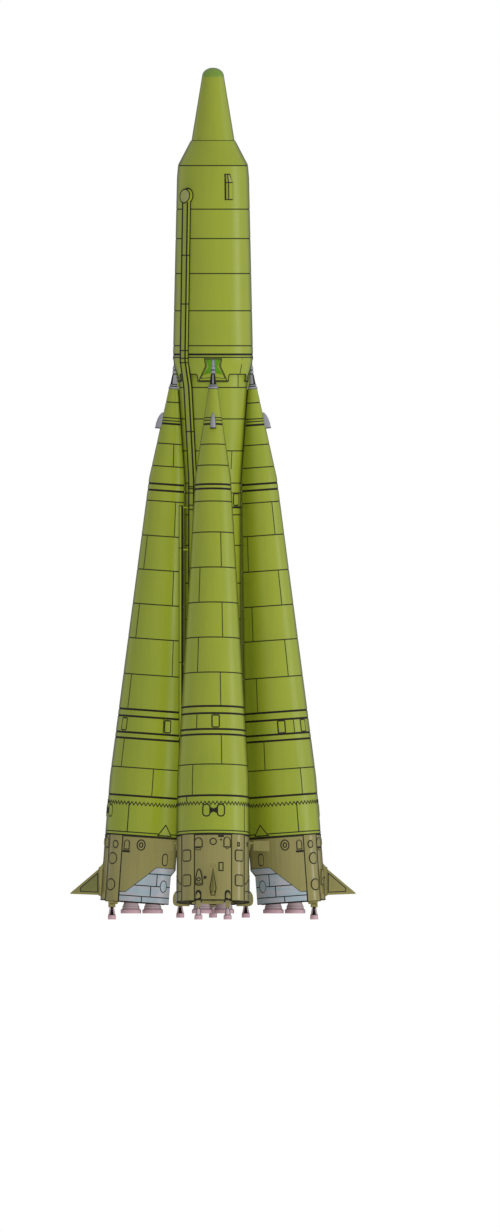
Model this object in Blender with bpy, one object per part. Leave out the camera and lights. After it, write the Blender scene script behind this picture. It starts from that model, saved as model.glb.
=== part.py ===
# Space rocket: a core stage with four strap-on boosters, standing on its steering nozzles.
# Metres, +Z up, origin on the core's axis at floor level; the front booster is towards -Y.
import math

import bmesh
import bpy
from mathutils import Matrix, Vector

# Fits between pieces
SEAT_GAP = 0.0003
HINGE_GAP = 0.005
MERGE_DISTANCE = 0.0001

# Sides of the round pieces
CORE_SIDES = 32
BOOSTER_SIDES = 32
BELL_SIDES = 12
SMALL_SIDES = 10

# Core stage: heights of its joints and radii there
NOSE_TIP_HEIGHT = 30.92
NOSE_DOME_HEIGHT = 0.32
NOSE_DOME_RADIUS = 0.40
NOSE_BASE_HEIGHT = 28.28
NOSE_BASE_RADIUS = 0.78
FLARE_TOP_RADIUS = 0.81
FLARE_BASE_HEIGHT = 27.39
FLARE_BASE_RADIUS = 1.27
SHOULDER_HEIGHT = 26.92
SHOULDER_RADIUS = 1.31
CORE_RADIUS = 1.45
CORE_WIDEST_TOP = 20.60
WAIST_TOP_HEIGHT = 20.42
WAIST_CHAMFER_HEIGHT = 20.26
WAIST_NOTCH_HEIGHT = 19.79
WAIST_TAB_HEIGHT = 19.49
WAIST_TAB_RADIUS = 1.27
WAIST_TAB_HALF_ANGLE = math.radians(26)
NECK_RADIUS = 1.247
NECK_BASE_HEIGHT = 19.31
LOWER_CONE_HEIGHT = 15.95
LOWER_RADIUS = 1.0145
CORE_TAIL_HEIGHT = 3.0
CORE_TAIL_RADIUS = 1.02
CORE_BASE_HEIGHT = 0.62

# Boosters: each leans in along a straight axis, and heights below are those of its axis
AXIS_SLOPE = 0.0715
AXIS_AT_FLOOR = 2.812
TILT = math.atan(AXIS_SLOPE)
BOOSTERS = {"front": -90, "right": 0, "rear": 90, "left": 180}
BOOSTER_TIP_HEIGHT = 19.25
BOOSTER_TIP_RADIUS = 0.17
BOOSTER_KINK_HEIGHT = 16.0
BOOSTER_KINK_RADIUS = 0.652
BOOSTER_CONE_BASE_HEIGHT = 15.72
BOOSTER_CYLINDER_HEIGHT = 5.1
BOOSTER_CYLINDER_RADIUS = 1.30
TANK_BASE_HEIGHT = 3.01
BOOSTER_RADIUS = 1.323
BOOSTER_BASE_HEIGHT = 0.62

# Engines: four bells in a square under one plate
ENGINE_RADIAL = 2.585
BELL_PITCH = 0.79
BELL_EXIT_HEIGHT = 0.22
BELL_EXIT_RADIUS = 0.3725
BELL_RIM_HEIGHT = 0.14
ENGINE_TOP_HEIGHT = 1.15
ENGINE_PLATE = 1.26
ENGINE_PLATE_THICKNESS = 0.10

# Steering nozzles: each swings about a level pin that points away from the core's axis
VERNIER_RADIAL = 3.67
VERNIER_LATERAL = 0.53
VERNIER_LENGTH = 0.515
VERNIER_EXIT_RADIUS = 0.145
VERNIER_RIM_HEIGHT = 0.147
VERNIER_PIN_RADIUS = 0.075
VERNIER_PIN_HALF = 0.10
CORE_VERNIER_RADIAL = 1.19
CORE_VERNIER_EXIT_HEIGHT = 0.065

# Air rudders: each turns about a level axis that points away from the core's axis
RUDDER_AXIS_HEIGHT = 1.35
RUDDER_ROOT = 4.14
RUDDER_TIP = 5.18
RUDDER_ROOT_TOP = 1.87
RUDDER_ROOT_BASE = 0.89
RUDDER_THICKNESS = 0.20
RUDDER_HUB_RADIUS = 0.07

# Tie rods between the boosters' tails and the core
ROD_LATERAL = 1.10
ROD_RADIUS = 0.0385
ROD_END = 1.47
ROD_LEVELS = {"x": 2.78, "y": 2.58}


def clear_scene():
    for leftover in list(bpy.data.objects):
        bpy.data.objects.remove(leftover)


def paint(name, colour, roughness, metallic=0.0):
    material = bpy.data.materials.new(name)
    material.use_nodes = True
    shader = material.node_tree.nodes["Principled BSDF"]
    shader.inputs["Base Color"].default_value = (*colour, 1.0)
    shader.inputs["Roughness"].default_value = roughness
    shader.inputs["Metallic"].default_value = metallic
    return material


def finished(bm, name="shape"):
    """Turn a bmesh into a mesh with its faces pointing out."""
    bmesh.ops.remove_doubles(bm, verts=bm.verts, dist=MERGE_DISTANCE)
    bmesh.ops.recalc_face_normals(bm, faces=bm.faces)
    mesh = bpy.data.meshes.new(name)
    bm.to_mesh(mesh)
    bm.free()
    return mesh


def turned(profile, sides):
    """Spin a profile of (radius, height) points about Z."""
    bm = bmesh.new()
    points = [bm.verts.new((radius, 0.0, height)) for radius, height in profile]
    lines = [bm.edges.new(pair) for pair in zip(points, points[1:])]
    bmesh.ops.spin(bm, geom=points + lines, cent=(0, 0, 0), axis=(0, 0, 1),
                   angle=2 * math.pi, steps=sides, use_merge=True)
    return finished(bm)


def prism(outline, low, high, axis="Z"):
    """Extrude a flat outline from low to high; axis Y takes the outline as (x, z)."""
    bm = bmesh.new()
    if axis == "Z":
        corners = [bm.verts.new((x, y, low)) for x, y in outline]
        step = Vector((0, 0, high - low))
    else:
        corners = [bm.verts.new((x, low, z)) for x, z in outline]
        step = Vector((0, high - low, 0))
    face = bm.faces.new(corners)
    grown = bmesh.ops.extrude_face_region(bm, geom=[face], use_keep_orig=True)
    moved = [part for part in grown["geom"] if isinstance(part, bmesh.types.BMVert)]
    bmesh.ops.translate(bm, verts=moved, vec=step)
    return finished(bm)


def hull(points):
    """The closed solid around a few corner points."""
    bm = bmesh.new()
    for point in points:
        bm.verts.new(point)
    shell = bmesh.ops.convex_hull(bm, input=bm.verts)
    bmesh.ops.delete(bm, geom=shell["geom_interior"] + shell["geom_unused"], context="VERTS")
    return finished(bm)


def block(low, high):
    return hull([(x, y, z) for x in (low[0], high[0]) for y in (low[1], high[1])
                 for z in (low[2], high[2])])


def moved(mesh, matrix):
    copy = mesh.copy()
    copy.transform(matrix)
    return copy


def gathered(meshes):
    """Put several separate solids into one mesh, to be joined to another in one step."""
    bm = bmesh.new()
    for mesh in meshes:
        bm.from_mesh(mesh)
    mesh = bpy.data.meshes.new("group")
    bm.to_mesh(mesh)
    bm.free()
    return mesh


def combined(base, tool, operation):
    """Join or cut two closed meshes and return the result as a mesh."""
    body = bpy.data.objects.new("body", base)
    cutter = bpy.data.objects.new("cutter", tool)
    for temporary in (body, cutter):
        bpy.context.collection.objects.link(temporary)
    boolean = body.modifiers.new("combine", "BOOLEAN")
    boolean.operation = operation
    boolean.object = cutter
    bpy.context.view_layer.update()
    evaluated = body.evaluated_get(bpy.context.evaluated_depsgraph_get())
    result = bpy.data.meshes.new_from_object(evaluated)
    bpy.data.objects.remove(body)
    bpy.data.objects.remove(cutter)
    return result


def united(base, *tools):
    return combined(base, gathered(tools), "UNION")


def cut(base, *tools):
    return combined(base, gathered(tools), "DIFFERENCE")


def turn(degrees):
    return Matrix.Rotation(math.radians(degrees), 4, "Z")


def around(mesh):
    """Copies of a mesh at the four booster directions."""
    return [moved(mesh, turn(degrees)) for degrees in BOOSTERS.values()]


def put(name, mesh, material, parent=None, location=(0, 0, 0), tilt=0.0):
    """Place a named piece; its mesh is shaded smooth except at real edges."""
    mesh.shade_smooth()
    mesh.set_sharp_from_angle(angle=math.radians(35))
    mesh.materials.clear()
    mesh.materials.append(material)
    piece = bpy.data.objects.new(name, mesh)
    piece.location = location
    piece.rotation_euler = (0, tilt, 0)
    piece.parent = parent
    bpy.context.collection.objects.link(piece)
    return piece


def along_axis(height):
    """Distance along a booster's leaning axis from floor level to a height."""
    return height / math.cos(TILT)


def leaning():
    """From a booster's own frame, with Z along its axis, to its upright frame."""
    return Matrix.Translation((AXIS_AT_FLOOR, 0, 0)) @ Matrix.Rotation(-TILT, 4, "Y")


def rounded_square(half, corner, steps=3):
    """A square outline about the origin with round corners."""
    outline = []
    for quarter in range(4):
        centre = Vector((half - corner, half - corner))
        centre.rotate(Matrix.Rotation(quarter * math.pi / 2, 2))
        for step in range(steps + 1):
            angle = (quarter + step / steps) * math.pi / 2
            outline.append((centre.x + corner * math.cos(angle), centre.y + corner * math.sin(angle)))
    return outline


# Core stage

def nose_cone():
    shoulder = NOSE_TIP_HEIGHT - NOSE_DOME_HEIGHT
    dome = []
    for step in range(5):
        angle = step * math.pi / 8
        dome.append((NOSE_DOME_RADIUS * math.sin(angle), shoulder + NOSE_DOME_HEIGHT * math.cos(angle)))
    base = NOSE_BASE_HEIGHT + SEAT_GAP
    return turned(dome + [(NOSE_BASE_RADIUS, base), (0, base)], CORE_SIDES)


def nose_flare():
    base = FLARE_BASE_HEIGHT + SEAT_GAP
    return turned([(0, NOSE_BASE_HEIGHT), (FLARE_TOP_RADIUS, NOSE_BASE_HEIGHT),
                   (FLARE_BASE_RADIUS, base), (0, base)], CORE_SIDES)


def upper_profile():
    base = WAIST_TOP_HEIGHT + SEAT_GAP
    return [(0, FLARE_BASE_HEIGHT), (FLARE_BASE_RADIUS, FLARE_BASE_HEIGHT),
            (SHOULDER_RADIUS, SHOULDER_HEIGHT), (CORE_RADIUS, CORE_WIDEST_TOP),
            (CORE_RADIUS, base), (0, base)]


def upper_tank():
    return turned(upper_profile(), CORE_SIDES)


def pin_pocket():
    """The bow-tie recess that takes a booster's nose pin, in the booster's own frame."""
    floor_height, waist_height, ceiling_height = 19.60, 20.04, 20.34
    half_widths = ((0.36, floor_height), (0.20, waist_height), (0.26, ceiling_height))
    right = [(half, along_axis(height)) for half, height in half_widths]
    outline = right + [(-half, height) for half, height in reversed(right)]
    depth, reach = -0.20, 0.40
    flat = prism(outline, depth, reach, axis="Y")
    return moved(flat, leaning() @ Matrix.Rotation(-math.pi / 2, 4, "Z"))


def waist_skirt():
    """Conical skirt with four hanging tabs, each with a pocket for a booster's nose pin."""
    inner = NECK_RADIUS + SEAT_GAP
    band = turned([(0, WAIST_TOP_HEIGHT), (CORE_RADIUS, WAIST_TOP_HEIGHT),
                   (CORE_RADIUS, WAIST_CHAMFER_HEIGHT), (WAIST_TAB_RADIUS, WAIST_TAB_HEIGHT),
                   (inner, WAIST_TAB_HEIGHT), (inner, WAIST_NOTCH_HEIGHT), (0, WAIST_NOTCH_HEIGHT)],
                  CORE_SIDES)
    edge = math.pi / 4 - WAIST_TAB_HALF_ANGLE
    reach = 2 * CORE_RADIUS
    sides = [(reach * math.cos(angle), reach * math.sin(angle)) for angle in (-edge, edge)]
    start = (0.5 * CORE_RADIUS, 0.0)
    below = WAIST_TAB_HEIGHT - 0.1
    notch = prism([start] + sides, below, WAIST_NOTCH_HEIGHT)
    notches = [moved(notch, turn(degrees + 45)) for degrees in BOOSTERS.values()]
    return cut(band, *notches, *around(pin_pocket()))


def lower_profile():
    top = WAIST_NOTCH_HEIGHT - SEAT_GAP
    base = CORE_TAIL_HEIGHT + SEAT_GAP
    return [(0, top), (NECK_RADIUS, top), (NECK_RADIUS, NECK_BASE_HEIGHT),
            (LOWER_RADIUS, LOWER_CONE_HEIGHT), (LOWER_RADIUS, base), (0, base)]


def lower_tank():
    return turned(lower_profile(), CORE_SIDES)


def vernier_housing():
    """Teardrop blister on the core's tail around one steering nozzle."""
    half_width, inner, outer, base, belly, top, heel = 0.425, 0.85, 1.46, 0.48, 0.78, 1.22, 0.16
    lower, upper = 3, 6
    outline = [(inner, base)]
    for step in range(lower + 1):
        angle = step / lower * math.pi / 2
        outline.append((outer - heel + heel * math.sin(angle), base + heel - heel * math.cos(angle)))
    for step in range(upper + 1):
        angle = step / upper * math.pi / 2
        outline.append((inner + (outer - inner) * math.cos(angle), belly + (top - belly) * math.sin(angle)))
    return prism(outline, -half_width, half_width, axis="Y")


def vernier_bay():
    """The space in a housing: its two walls hold the ends of the nozzle's pin."""
    half_width, below, above = 0.36, 0.40, 0.72
    reach = VERNIER_PIN_HALF + SEAT_GAP
    return block((CORE_VERNIER_RADIAL - reach, -half_width, below),
                 (CORE_VERNIER_RADIAL + reach, half_width, above))


def core_tail():
    barrel = turned([(0, CORE_TAIL_HEIGHT), (CORE_TAIL_RADIUS, CORE_TAIL_HEIGHT),
                     (CORE_TAIL_RADIUS, CORE_BASE_HEIGHT), (0, CORE_BASE_HEIGHT)], CORE_SIDES)
    opening_half, corner, below = 0.70, 0.30, CORE_BASE_HEIGHT - 0.1
    opening = prism(rounded_square(opening_half, corner), below, ENGINE_TOP_HEIGHT)
    housed = united(barrel, *around(vernier_housing()))
    return cut(housed, opening, *around(vernier_bay()))


def cable_duct():
    """Flat duct down the core's side, with a wider cap where it enters near the top."""
    proud, half_width, foot = 0.11, 0.15, 3.3
    top, cap_base, cap_proud, cap_half = 26.56, 26.0, 0.16, 0.235
    wall = [(CORE_RADIUS, CORE_WIDEST_TOP), (CORE_RADIUS, WAIST_CHAMFER_HEIGHT),
            (NECK_RADIUS + 0.02, NECK_BASE_HEIGHT), (LOWER_RADIUS, LOWER_CONE_HEIGHT),
            (LOWER_RADIUS, foot)]
    slope = (CORE_RADIUS - SHOULDER_RADIUS) / (SHOULDER_HEIGHT - CORE_WIDEST_TOP)
    start = SHOULDER_RADIUS + slope * (SHOULDER_HEIGHT - top)
    inner = [(radius + SEAT_GAP, height) for radius, height in [(start, top)] + wall]
    outer = [(radius + proud, height) for radius, height in reversed(inner)]
    duct = prism(inner + outer, -half_width, half_width, axis="Y")
    cap_start = SHOULDER_RADIUS + slope * (SHOULDER_HEIGHT - cap_base)
    cap = prism([(start + SEAT_GAP, top), (start + cap_proud, top - 0.12),
                 (cap_start + cap_proud, cap_base + 0.05), (cap_start + SEAT_GAP, cap_base)],
                -cap_half, cap_half, axis="Y")
    return united(duct, cap)


def side_fairing():
    """Small wedge low on the shoulder, cut to the core's wall."""
    half_width, top, base, proud = 0.135, 27.06, 26.12, 0.12
    wall = SHOULDER_RADIUS - 0.10
    outline = [(wall, top), (SHOULDER_RADIUS + 0.03, top - 0.02),
               (SHOULDER_RADIUS + proud, base + 0.30), (SHOULDER_RADIUS + proud, base), (wall, base)]
    wedge = prism(outline, -half_width, half_width, axis="Y")
    seat = turned([(radius + SEAT_GAP if radius else 0, height) for radius, height in upper_profile()],
                  CORE_SIDES)
    return cut(moved(wedge, turn(-64.6)), seat)


# Engines and steering nozzles

def bell():
    """One thrust chamber, open at the bottom, from its plate down to its rim."""
    plate_base = ENGINE_TOP_HEIGHT - 0.5 * ENGINE_PLATE_THICKNESS
    rim_top = BELL_EXIT_HEIGHT + BELL_RIM_HEIGHT
    outside = [(0, plate_base), (0.16, plate_base), (0.16, 0.97), (0.10, 0.88), (0.25, 0.62),
               (0.30, rim_top), (BELL_EXIT_RADIUS, rim_top), (BELL_EXIT_RADIUS, BELL_EXIT_HEIGHT)]
    inside = [(0.335, BELL_EXIT_HEIGHT), (0.22, 0.58), (0.07, 0.86), (0, 0.86)]
    return turned(outside + inside, BELL_SIDES)


def engine():
    """Plate with four bells, its top held against the ceiling of the tail's opening."""
    half, corner = ENGINE_PLATE / 2, 0.15
    top = ENGINE_TOP_HEIGHT - SEAT_GAP
    plate = prism(rounded_square(half, corner, steps=2), top - ENGINE_PLATE_THICKNESS, top)
    offset = BELL_PITCH / 2
    bells = [moved(bell(), Matrix.Translation((x, y, 0))) for x in (-offset, offset)
             for y in (-offset, offset)]
    return united(plate, *bells)


def vernier():
    """Steering nozzle with its pin along X; the origin is on the pin's axis."""
    exit_height = -VERNIER_LENGTH
    rim_top = exit_height + VERNIER_RIM_HEIGHT
    outside = [(0, 0), (0.0635, 0), (0.0635, -0.05), (0.10, -0.25), (0.12, rim_top),
               (VERNIER_EXIT_RADIUS, rim_top), (VERNIER_EXIT_RADIUS, exit_height)]
    inside = [(0.125, exit_height), (0.08, -0.25), (0.03, -0.10), (0, -0.10)]
    nozzle = turned(outside + inside, SMALL_SIDES)
    pin = turned([(0, VERNIER_PIN_HALF), (VERNIER_PIN_RADIUS, VERNIER_PIN_HALF),
                  (VERNIER_PIN_RADIUS, -VERNIER_PIN_HALF), (0, -VERNIER_PIN_HALF)], SMALL_SIDES)
    return united(moved(pin, Matrix.Rotation(math.pi / 2, 4, "Y")), nozzle)


# Boosters, in a frame with X away from the core, Y to the side and Z up

def nose_pin():
    """Stepped pin on the booster's tip, its top held against its pocket's ceiling."""
    steps = [(0, 20.34), (0.055, 20.34), (0.055, 20.05), (0.08, 20.05), (0.08, 19.74),
             (0.125, 19.42), (0.125, 19.36), (0.18, 19.34), (0.18, BOOSTER_TIP_HEIGHT),
             (0, BOOSTER_TIP_HEIGHT)]
    profile = [(radius, along_axis(height)) for radius, height in steps]
    top, base = profile[0][1] - SEAT_GAP, profile[-1][1] + SEAT_GAP
    profile[0], profile[1] = (0, top), (profile[1][0], top)
    profile[-2], profile[-1] = (profile[-2][0], base), (0, base)
    return turned(profile, SMALL_SIDES)


def cone_radius(height):
    """Radius of a booster's straight cone at a height of its axis."""
    slope = ((BOOSTER_CYLINDER_RADIUS - BOOSTER_KINK_RADIUS)
             / (BOOSTER_KINK_HEIGHT - BOOSTER_CYLINDER_HEIGHT))
    return BOOSTER_KINK_RADIUS + slope * (BOOSTER_KINK_HEIGHT - height)


def booster_cone_profile(grow=0.0):
    steps = [(BOOSTER_TIP_RADIUS, BOOSTER_TIP_HEIGHT), (BOOSTER_KINK_RADIUS, BOOSTER_KINK_HEIGHT),
             (cone_radius(BOOSTER_CONE_BASE_HEIGHT), BOOSTER_CONE_BASE_HEIGHT)]
    side = [(radius + grow, along_axis(height)) for radius, height in steps]
    return [(0, side[0][1])] + side + [(0, side[-1][1])]


def booster_nose():
    return turned(booster_cone_profile(), BOOSTER_SIDES)


def booster_tank():
    top = along_axis(BOOSTER_CONE_BASE_HEIGHT) - SEAT_GAP
    base = along_axis(TANK_BASE_HEIGHT)
    return turned([(0, top), (cone_radius(BOOSTER_CONE_BASE_HEIGHT), top),
                   (BOOSTER_CYLINDER_RADIUS, along_axis(BOOSTER_CYLINDER_HEIGHT)),
                   (BOOSTER_RADIUS, base), (0, base)], BOOSTER_SIDES)


def vent_horn():
    """Pointed vent on the outer face of the nose cone, cut to the cone."""
    base, shoulder, top = 17.79, 18.13, 18.39
    root, reach, tip, half_width, rounding = 0.20, 0.575, 0.36, 0.12, 0.06
    points = []
    for height, lean in ((base, 0.0), (shoulder, rounding)):
        for side in (-1, 1):
            points.append((root, side * half_width, along_axis(height)))
            points.append((reach - rounding - lean, side * half_width, along_axis(height)))
            points.append((reach - lean, side * rounding, along_axis(height)))
    points.append((root, 0, along_axis(top)))
    points.append((tip, 0, along_axis(top)))
    seat = turned(booster_cone_profile(SEAT_GAP), BOOSTER_SIDES)
    return cut(hull(points), seat)


def tail_outline():
    """Round outline with two shallow half-round ribs, 45 degrees to each side of outboard."""
    rib_centre, rib_radius, rib_reach, steps = 0.848, 0.532, math.radians(14), 48
    outline = []
    for step in range(steps):
        angle = 2 * math.pi * step / steps
        radius = BOOSTER_RADIUS
        for rib in (-math.pi / 4, math.pi / 4):
            away = math.remainder(angle - rib, 2 * math.pi)
            if abs(away) < rib_reach:
                across = rib_centre * math.sin(away)
                radius = rib_centre * math.cos(away) + math.sqrt(rib_radius ** 2 - across ** 2)
        outline.append((radius * math.cos(angle), radius * math.sin(angle)))
    return outline


def inboard_cut():
    """The flat cut low on the tail's inner side, in the booster's own frame."""
    chord, slant_top, slant_base, reach = -1.16, 1.86, 1.62, 1.6
    outline = [(-reach, along_axis(slant_top)), (-BOOSTER_RADIUS - 0.001, along_axis(slant_top)),
               (chord, along_axis(slant_base)), (chord, along_axis(0.4)), (-reach, along_axis(0.4))]
    return moved(prism(outline, -reach, reach, axis="Y"), leaning())


def vernier_bracket(side):
    """Fork under the tail's base that holds the two ends of a steering nozzle's pin."""
    cheek, half_width, crown, base, root = 0.03, 0.08, 0.60, 0.44, 0.80
    near, far = VERNIER_RADIAL - VERNIER_PIN_HALF - SEAT_GAP, VERNIER_RADIAL + VERNIER_PIN_HALF + SEAT_GAP
    outline = [(near - cheek, root), (near - cheek, base), (near, base), (near, crown),
               (far, crown), (far, base), (far + cheek, base), (far + cheek, root)]
    centre = side * VERNIER_LATERAL
    return prism(outline, centre - half_width, centre + half_width, axis="Y")


def vernier_elbow(side):
    """Hood on the outer wall, over the pipes to a steering nozzle, above the nozzle's fork."""
    root, rounding = 3.785, 0.05
    rows = ((1.00, 3.97, 0.030), (0.92, 4.02, 0.080), (0.82, 4.02, 0.100), (0.66, 3.90, 0.080))
    centre = side * VERNIER_LATERAL
    points = []
    for height, reach, half_width in rows:
        for way in (-1, 1):
            points.append((root, centre + way * half_width, height))
            points.append((reach - rounding, centre + way * half_width, height))
            points.append((reach, centre + 0.5 * way * half_width, height))
    return hull(points)


def vernier_beam():
    """Cross beam under the tail's base, between the two steering nozzles."""
    near, far, half_width, base, root = 3.46, 3.76, 0.40, 0.56, 0.80
    return block((near, -half_width, base), (far, half_width, root))


def rudder_pylon():
    """Fixed root on the tail that carries the air rudder."""
    face = RUDDER_ROOT - HINGE_GAP
    half = RUDDER_THICKNESS / 2
    sunk, wall_heights, face_heights = 3.85, (0.80, 2.10), (0.86, 1.90)
    return hull([(x, side * half, height) for x, heights in ((sunk, wall_heights), (face, face_heights))
                 for side in (-1, 1) for height in heights])


def rod_bracket(side):
    """Bracket on the tail's inner quarter that a tie rod ends against."""
    half_width, low, high, sunk, flare = 0.09, 2.50, 2.86, 2.05, 0.03
    end = ROD_END + SEAT_GAP
    centre = side * ROD_LATERAL
    return hull([(x, centre + way * half_width, height)
                 for x, bottom in ((end, low), (sunk, low - flare)) for way in (-1, 1)
                 for height in (bottom, high)])


def booster_tail():
    top, base = along_axis(TANK_BASE_HEIGHT) - SEAT_GAP, along_axis(BOOSTER_BASE_HEIGHT)
    barrel = moved(prism(tail_outline(), base, top), leaning())
    fittings = [vernier_bracket(-1), vernier_bracket(1), rudder_pylon(), rod_bracket(-1), rod_bracket(1)]
    fitted = united(barrel, *fittings)
    beamed = united(fitted, vernier_beam(), vernier_elbow(-1), vernier_elbow(1))
    opening_half, corner, below = 0.7875, 0.25, 0.3
    opening = prism(rounded_square(opening_half, corner), below, ENGINE_TOP_HEIGHT)
    opening = moved(opening, Matrix.Translation((ENGINE_RADIAL, 0, 0)))
    return cut(beamed, opening, inboard_cut())


def rudder():
    """Diamond-section fin with a short hub; the origin is on its turning axis, at the root."""
    half, tip_half, tip_low, tip_high = RUDDER_THICKNESS / 2, 0.02, 0.93, 0.99
    tip = RUDDER_TIP - RUDDER_ROOT
    root = [(0, 0, RUDDER_ROOT_TOP), (0, half, RUDDER_AXIS_HEIGHT), (0, -half, RUDDER_AXIS_HEIGHT),
            (0, 0, RUDDER_ROOT_BASE)]
    end = [(tip, 0, tip_high), (tip, 0, tip_low), (tip, tip_half, 0.96), (tip, -tip_half, 0.96)]
    fin = moved(hull(root + end), Matrix.Translation((0, 0, -RUDDER_AXIS_HEIGHT)))
    reach = HINGE_GAP - SEAT_GAP
    hub = turned([(0, 0.02), (RUDDER_HUB_RADIUS, 0.02), (RUDDER_HUB_RADIUS, -reach), (0, -reach)],
                 SMALL_SIDES)
    return united(fin, moved(hub, Matrix.Rotation(math.pi / 2, 4, "Y")))


def tie_rods(level):
    """Two rods in line with the lug between them, along Y beside the core's +X side."""
    rod = turned([(0, ROD_END), (ROD_RADIUS, ROD_END), (ROD_RADIUS, -ROD_END), (0, -ROD_END)],
                 SMALL_SIDES)
    laid = moved(rod, Matrix.Translation((ROD_LATERAL, 0, level)) @ Matrix.Rotation(math.pi / 2, 4, "X"))
    half_length, half_height = 0.14, 0.09
    lug = block((CORE_TAIL_RADIUS + SEAT_GAP, -half_length, level - half_height),
                (ROD_LATERAL + ROD_RADIUS + 0.02, half_length, level + half_height))
    return united(lug, laid)


def empty(name, degrees):
    """A frame turned to one booster's direction."""
    frame = bpy.data.objects.new(name, None)
    frame.rotation_euler = (0, 0, math.radians(degrees))
    bpy.context.collection.objects.link(frame)
    return frame


def build_core(finish):
    put("nose_cone", nose_cone(), finish["green"])
    put("nose_flare", nose_flare(), finish["green"])
    put("core_upper_tank", upper_tank(), finish["green"])
    put("core_waist_skirt", waist_skirt(), finish["green"])
    put("core_lower_tank", lower_tank(), finish["green"])
    put("core_tail", core_tail(), finish["khaki"])
    put("core_side_fairing", side_fairing(), finish["green"])
    put("core_cable_duct", moved(cable_duct(), turn(-135)), finish["green"])


def build_boosters(finish):
    """Pieces that repeat on the four boosters share one mesh each."""
    leaning_pieces = {"nose_pin": (nose_pin(), "fitting"), "nose_cone": (booster_nose(), "green"),
                      "tank": (booster_tank(), "green"), "vent_horn": (vent_horn(), "fitting")}
    tail, nozzle, fin, bells = booster_tail(), vernier(), rudder(), engine()
    for name, degrees in BOOSTERS.items():
        frame = empty("booster_" + name, degrees)
        for piece, (mesh, colour) in leaning_pieces.items():
            put(f"booster_{name}_{piece}", mesh, finish[colour], frame, (AXIS_AT_FLOOR, 0, 0), -TILT)
        put(f"booster_{name}_tail", tail, finish["khaki"], frame)
        put(f"booster_{name}_engine", bells, finish["nozzle"], frame, (ENGINE_RADIAL, 0, 0))
        for letter, side in (("a", -1), ("b", 1)):
            put(f"booster_{name}_vernier_{letter}", nozzle, finish["nozzle"], frame,
                (VERNIER_RADIAL, side * VERNIER_LATERAL, VERNIER_LENGTH))
        put(f"booster_{name}_rudder", fin, finish["green"], frame, (RUDDER_ROOT, 0, RUDDER_AXIS_HEIGHT))
        pivot = CORE_VERNIER_EXIT_HEIGHT + VERNIER_LENGTH
        put("core_vernier_" + name, nozzle, finish["nozzle"], frame, (CORE_VERNIER_RADIAL, 0, pivot))
        level = ROD_LEVELS["y" if name in ("right", "left") else "x"]
        put("tie_rods_" + name, tie_rods(level), finish["strut"], frame)
    put("core_engine", bells, finish["nozzle"])


def main():
    clear_scene()
    finish = {"green": paint("green_paint", (0.27, 0.32, 0.04), 0.55),
              "khaki": paint("khaki_paint", (0.24, 0.22, 0.09), 0.6),
              "nozzle": paint("nozzle_metal", (0.32, 0.23, 0.25), 0.4, 0.8),
              "fitting": paint("grey_fitting", (0.34, 0.34, 0.39), 0.45, 0.6),
              "strut": paint("blue_grey_steel", (0.14, 0.17, 0.2), 0.4, 0.7)}
    build_core(finish)
    build_boosters(finish)


main()
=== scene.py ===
# %% [markdown]
# # A space rocket in cells
# The CAD solids give every size of this rocket. This script dresses them: smooth skins with
# real weld grooves, hatches, ribs, nozzles and paint. Each step says what the part is on the
# real rocket, and why it is made the way it is.

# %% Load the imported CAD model
import math

import bmesh
import bpy
from mathutils import Matrix, Vector


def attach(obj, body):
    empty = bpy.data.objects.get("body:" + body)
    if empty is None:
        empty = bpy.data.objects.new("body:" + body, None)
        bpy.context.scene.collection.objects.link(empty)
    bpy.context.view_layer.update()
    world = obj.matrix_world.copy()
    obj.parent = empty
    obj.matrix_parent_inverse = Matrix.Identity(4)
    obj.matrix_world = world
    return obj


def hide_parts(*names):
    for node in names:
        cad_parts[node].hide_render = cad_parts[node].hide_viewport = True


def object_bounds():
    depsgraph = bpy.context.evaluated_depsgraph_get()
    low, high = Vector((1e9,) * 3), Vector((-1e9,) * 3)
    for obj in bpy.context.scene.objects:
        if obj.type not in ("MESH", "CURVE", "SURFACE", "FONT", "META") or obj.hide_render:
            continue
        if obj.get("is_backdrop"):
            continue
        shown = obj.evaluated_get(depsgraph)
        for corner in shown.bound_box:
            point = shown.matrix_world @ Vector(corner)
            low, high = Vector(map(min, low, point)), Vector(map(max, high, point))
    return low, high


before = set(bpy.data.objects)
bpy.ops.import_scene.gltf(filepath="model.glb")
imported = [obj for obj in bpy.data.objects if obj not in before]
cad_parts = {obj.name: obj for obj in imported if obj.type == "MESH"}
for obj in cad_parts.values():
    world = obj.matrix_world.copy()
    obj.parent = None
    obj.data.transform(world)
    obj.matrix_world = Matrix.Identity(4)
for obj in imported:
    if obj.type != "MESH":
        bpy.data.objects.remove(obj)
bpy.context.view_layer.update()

# %% [markdown]
# ## The camera
# A drawing-like side view has no perspective, so the camera is orthographic and level. Its
# scale is the height of the picture in metres: 1232 rows at 27.55 rows a metre.

# %% A level camera without perspective
ROWS_PER_METRE = 27.55
PICTURE_ROWS = 1232
CAMERA_AT = (1.343, -60, 11.016)


def show(name, data):
    """A new object in the scene."""
    made = bpy.data.objects.new(name, data)
    bpy.context.collection.objects.link(made)
    return made


lens = bpy.data.cameras.new("camera")
lens.type = "ORTHO"
lens.ortho_scale = PICTURE_ROWS / ROWS_PER_METRE
lens.clip_end = 400
camera = show("camera", lens)
camera.location = CAMERA_AT
camera.rotation_euler = (math.pi / 2, 0, 0)
bpy.context.scene.camera = camera
bpy.context.scene.view_settings.view_transform = "Standard"
print("the picture is", round(lens.ortho_scale, 2), "m tall")

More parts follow.
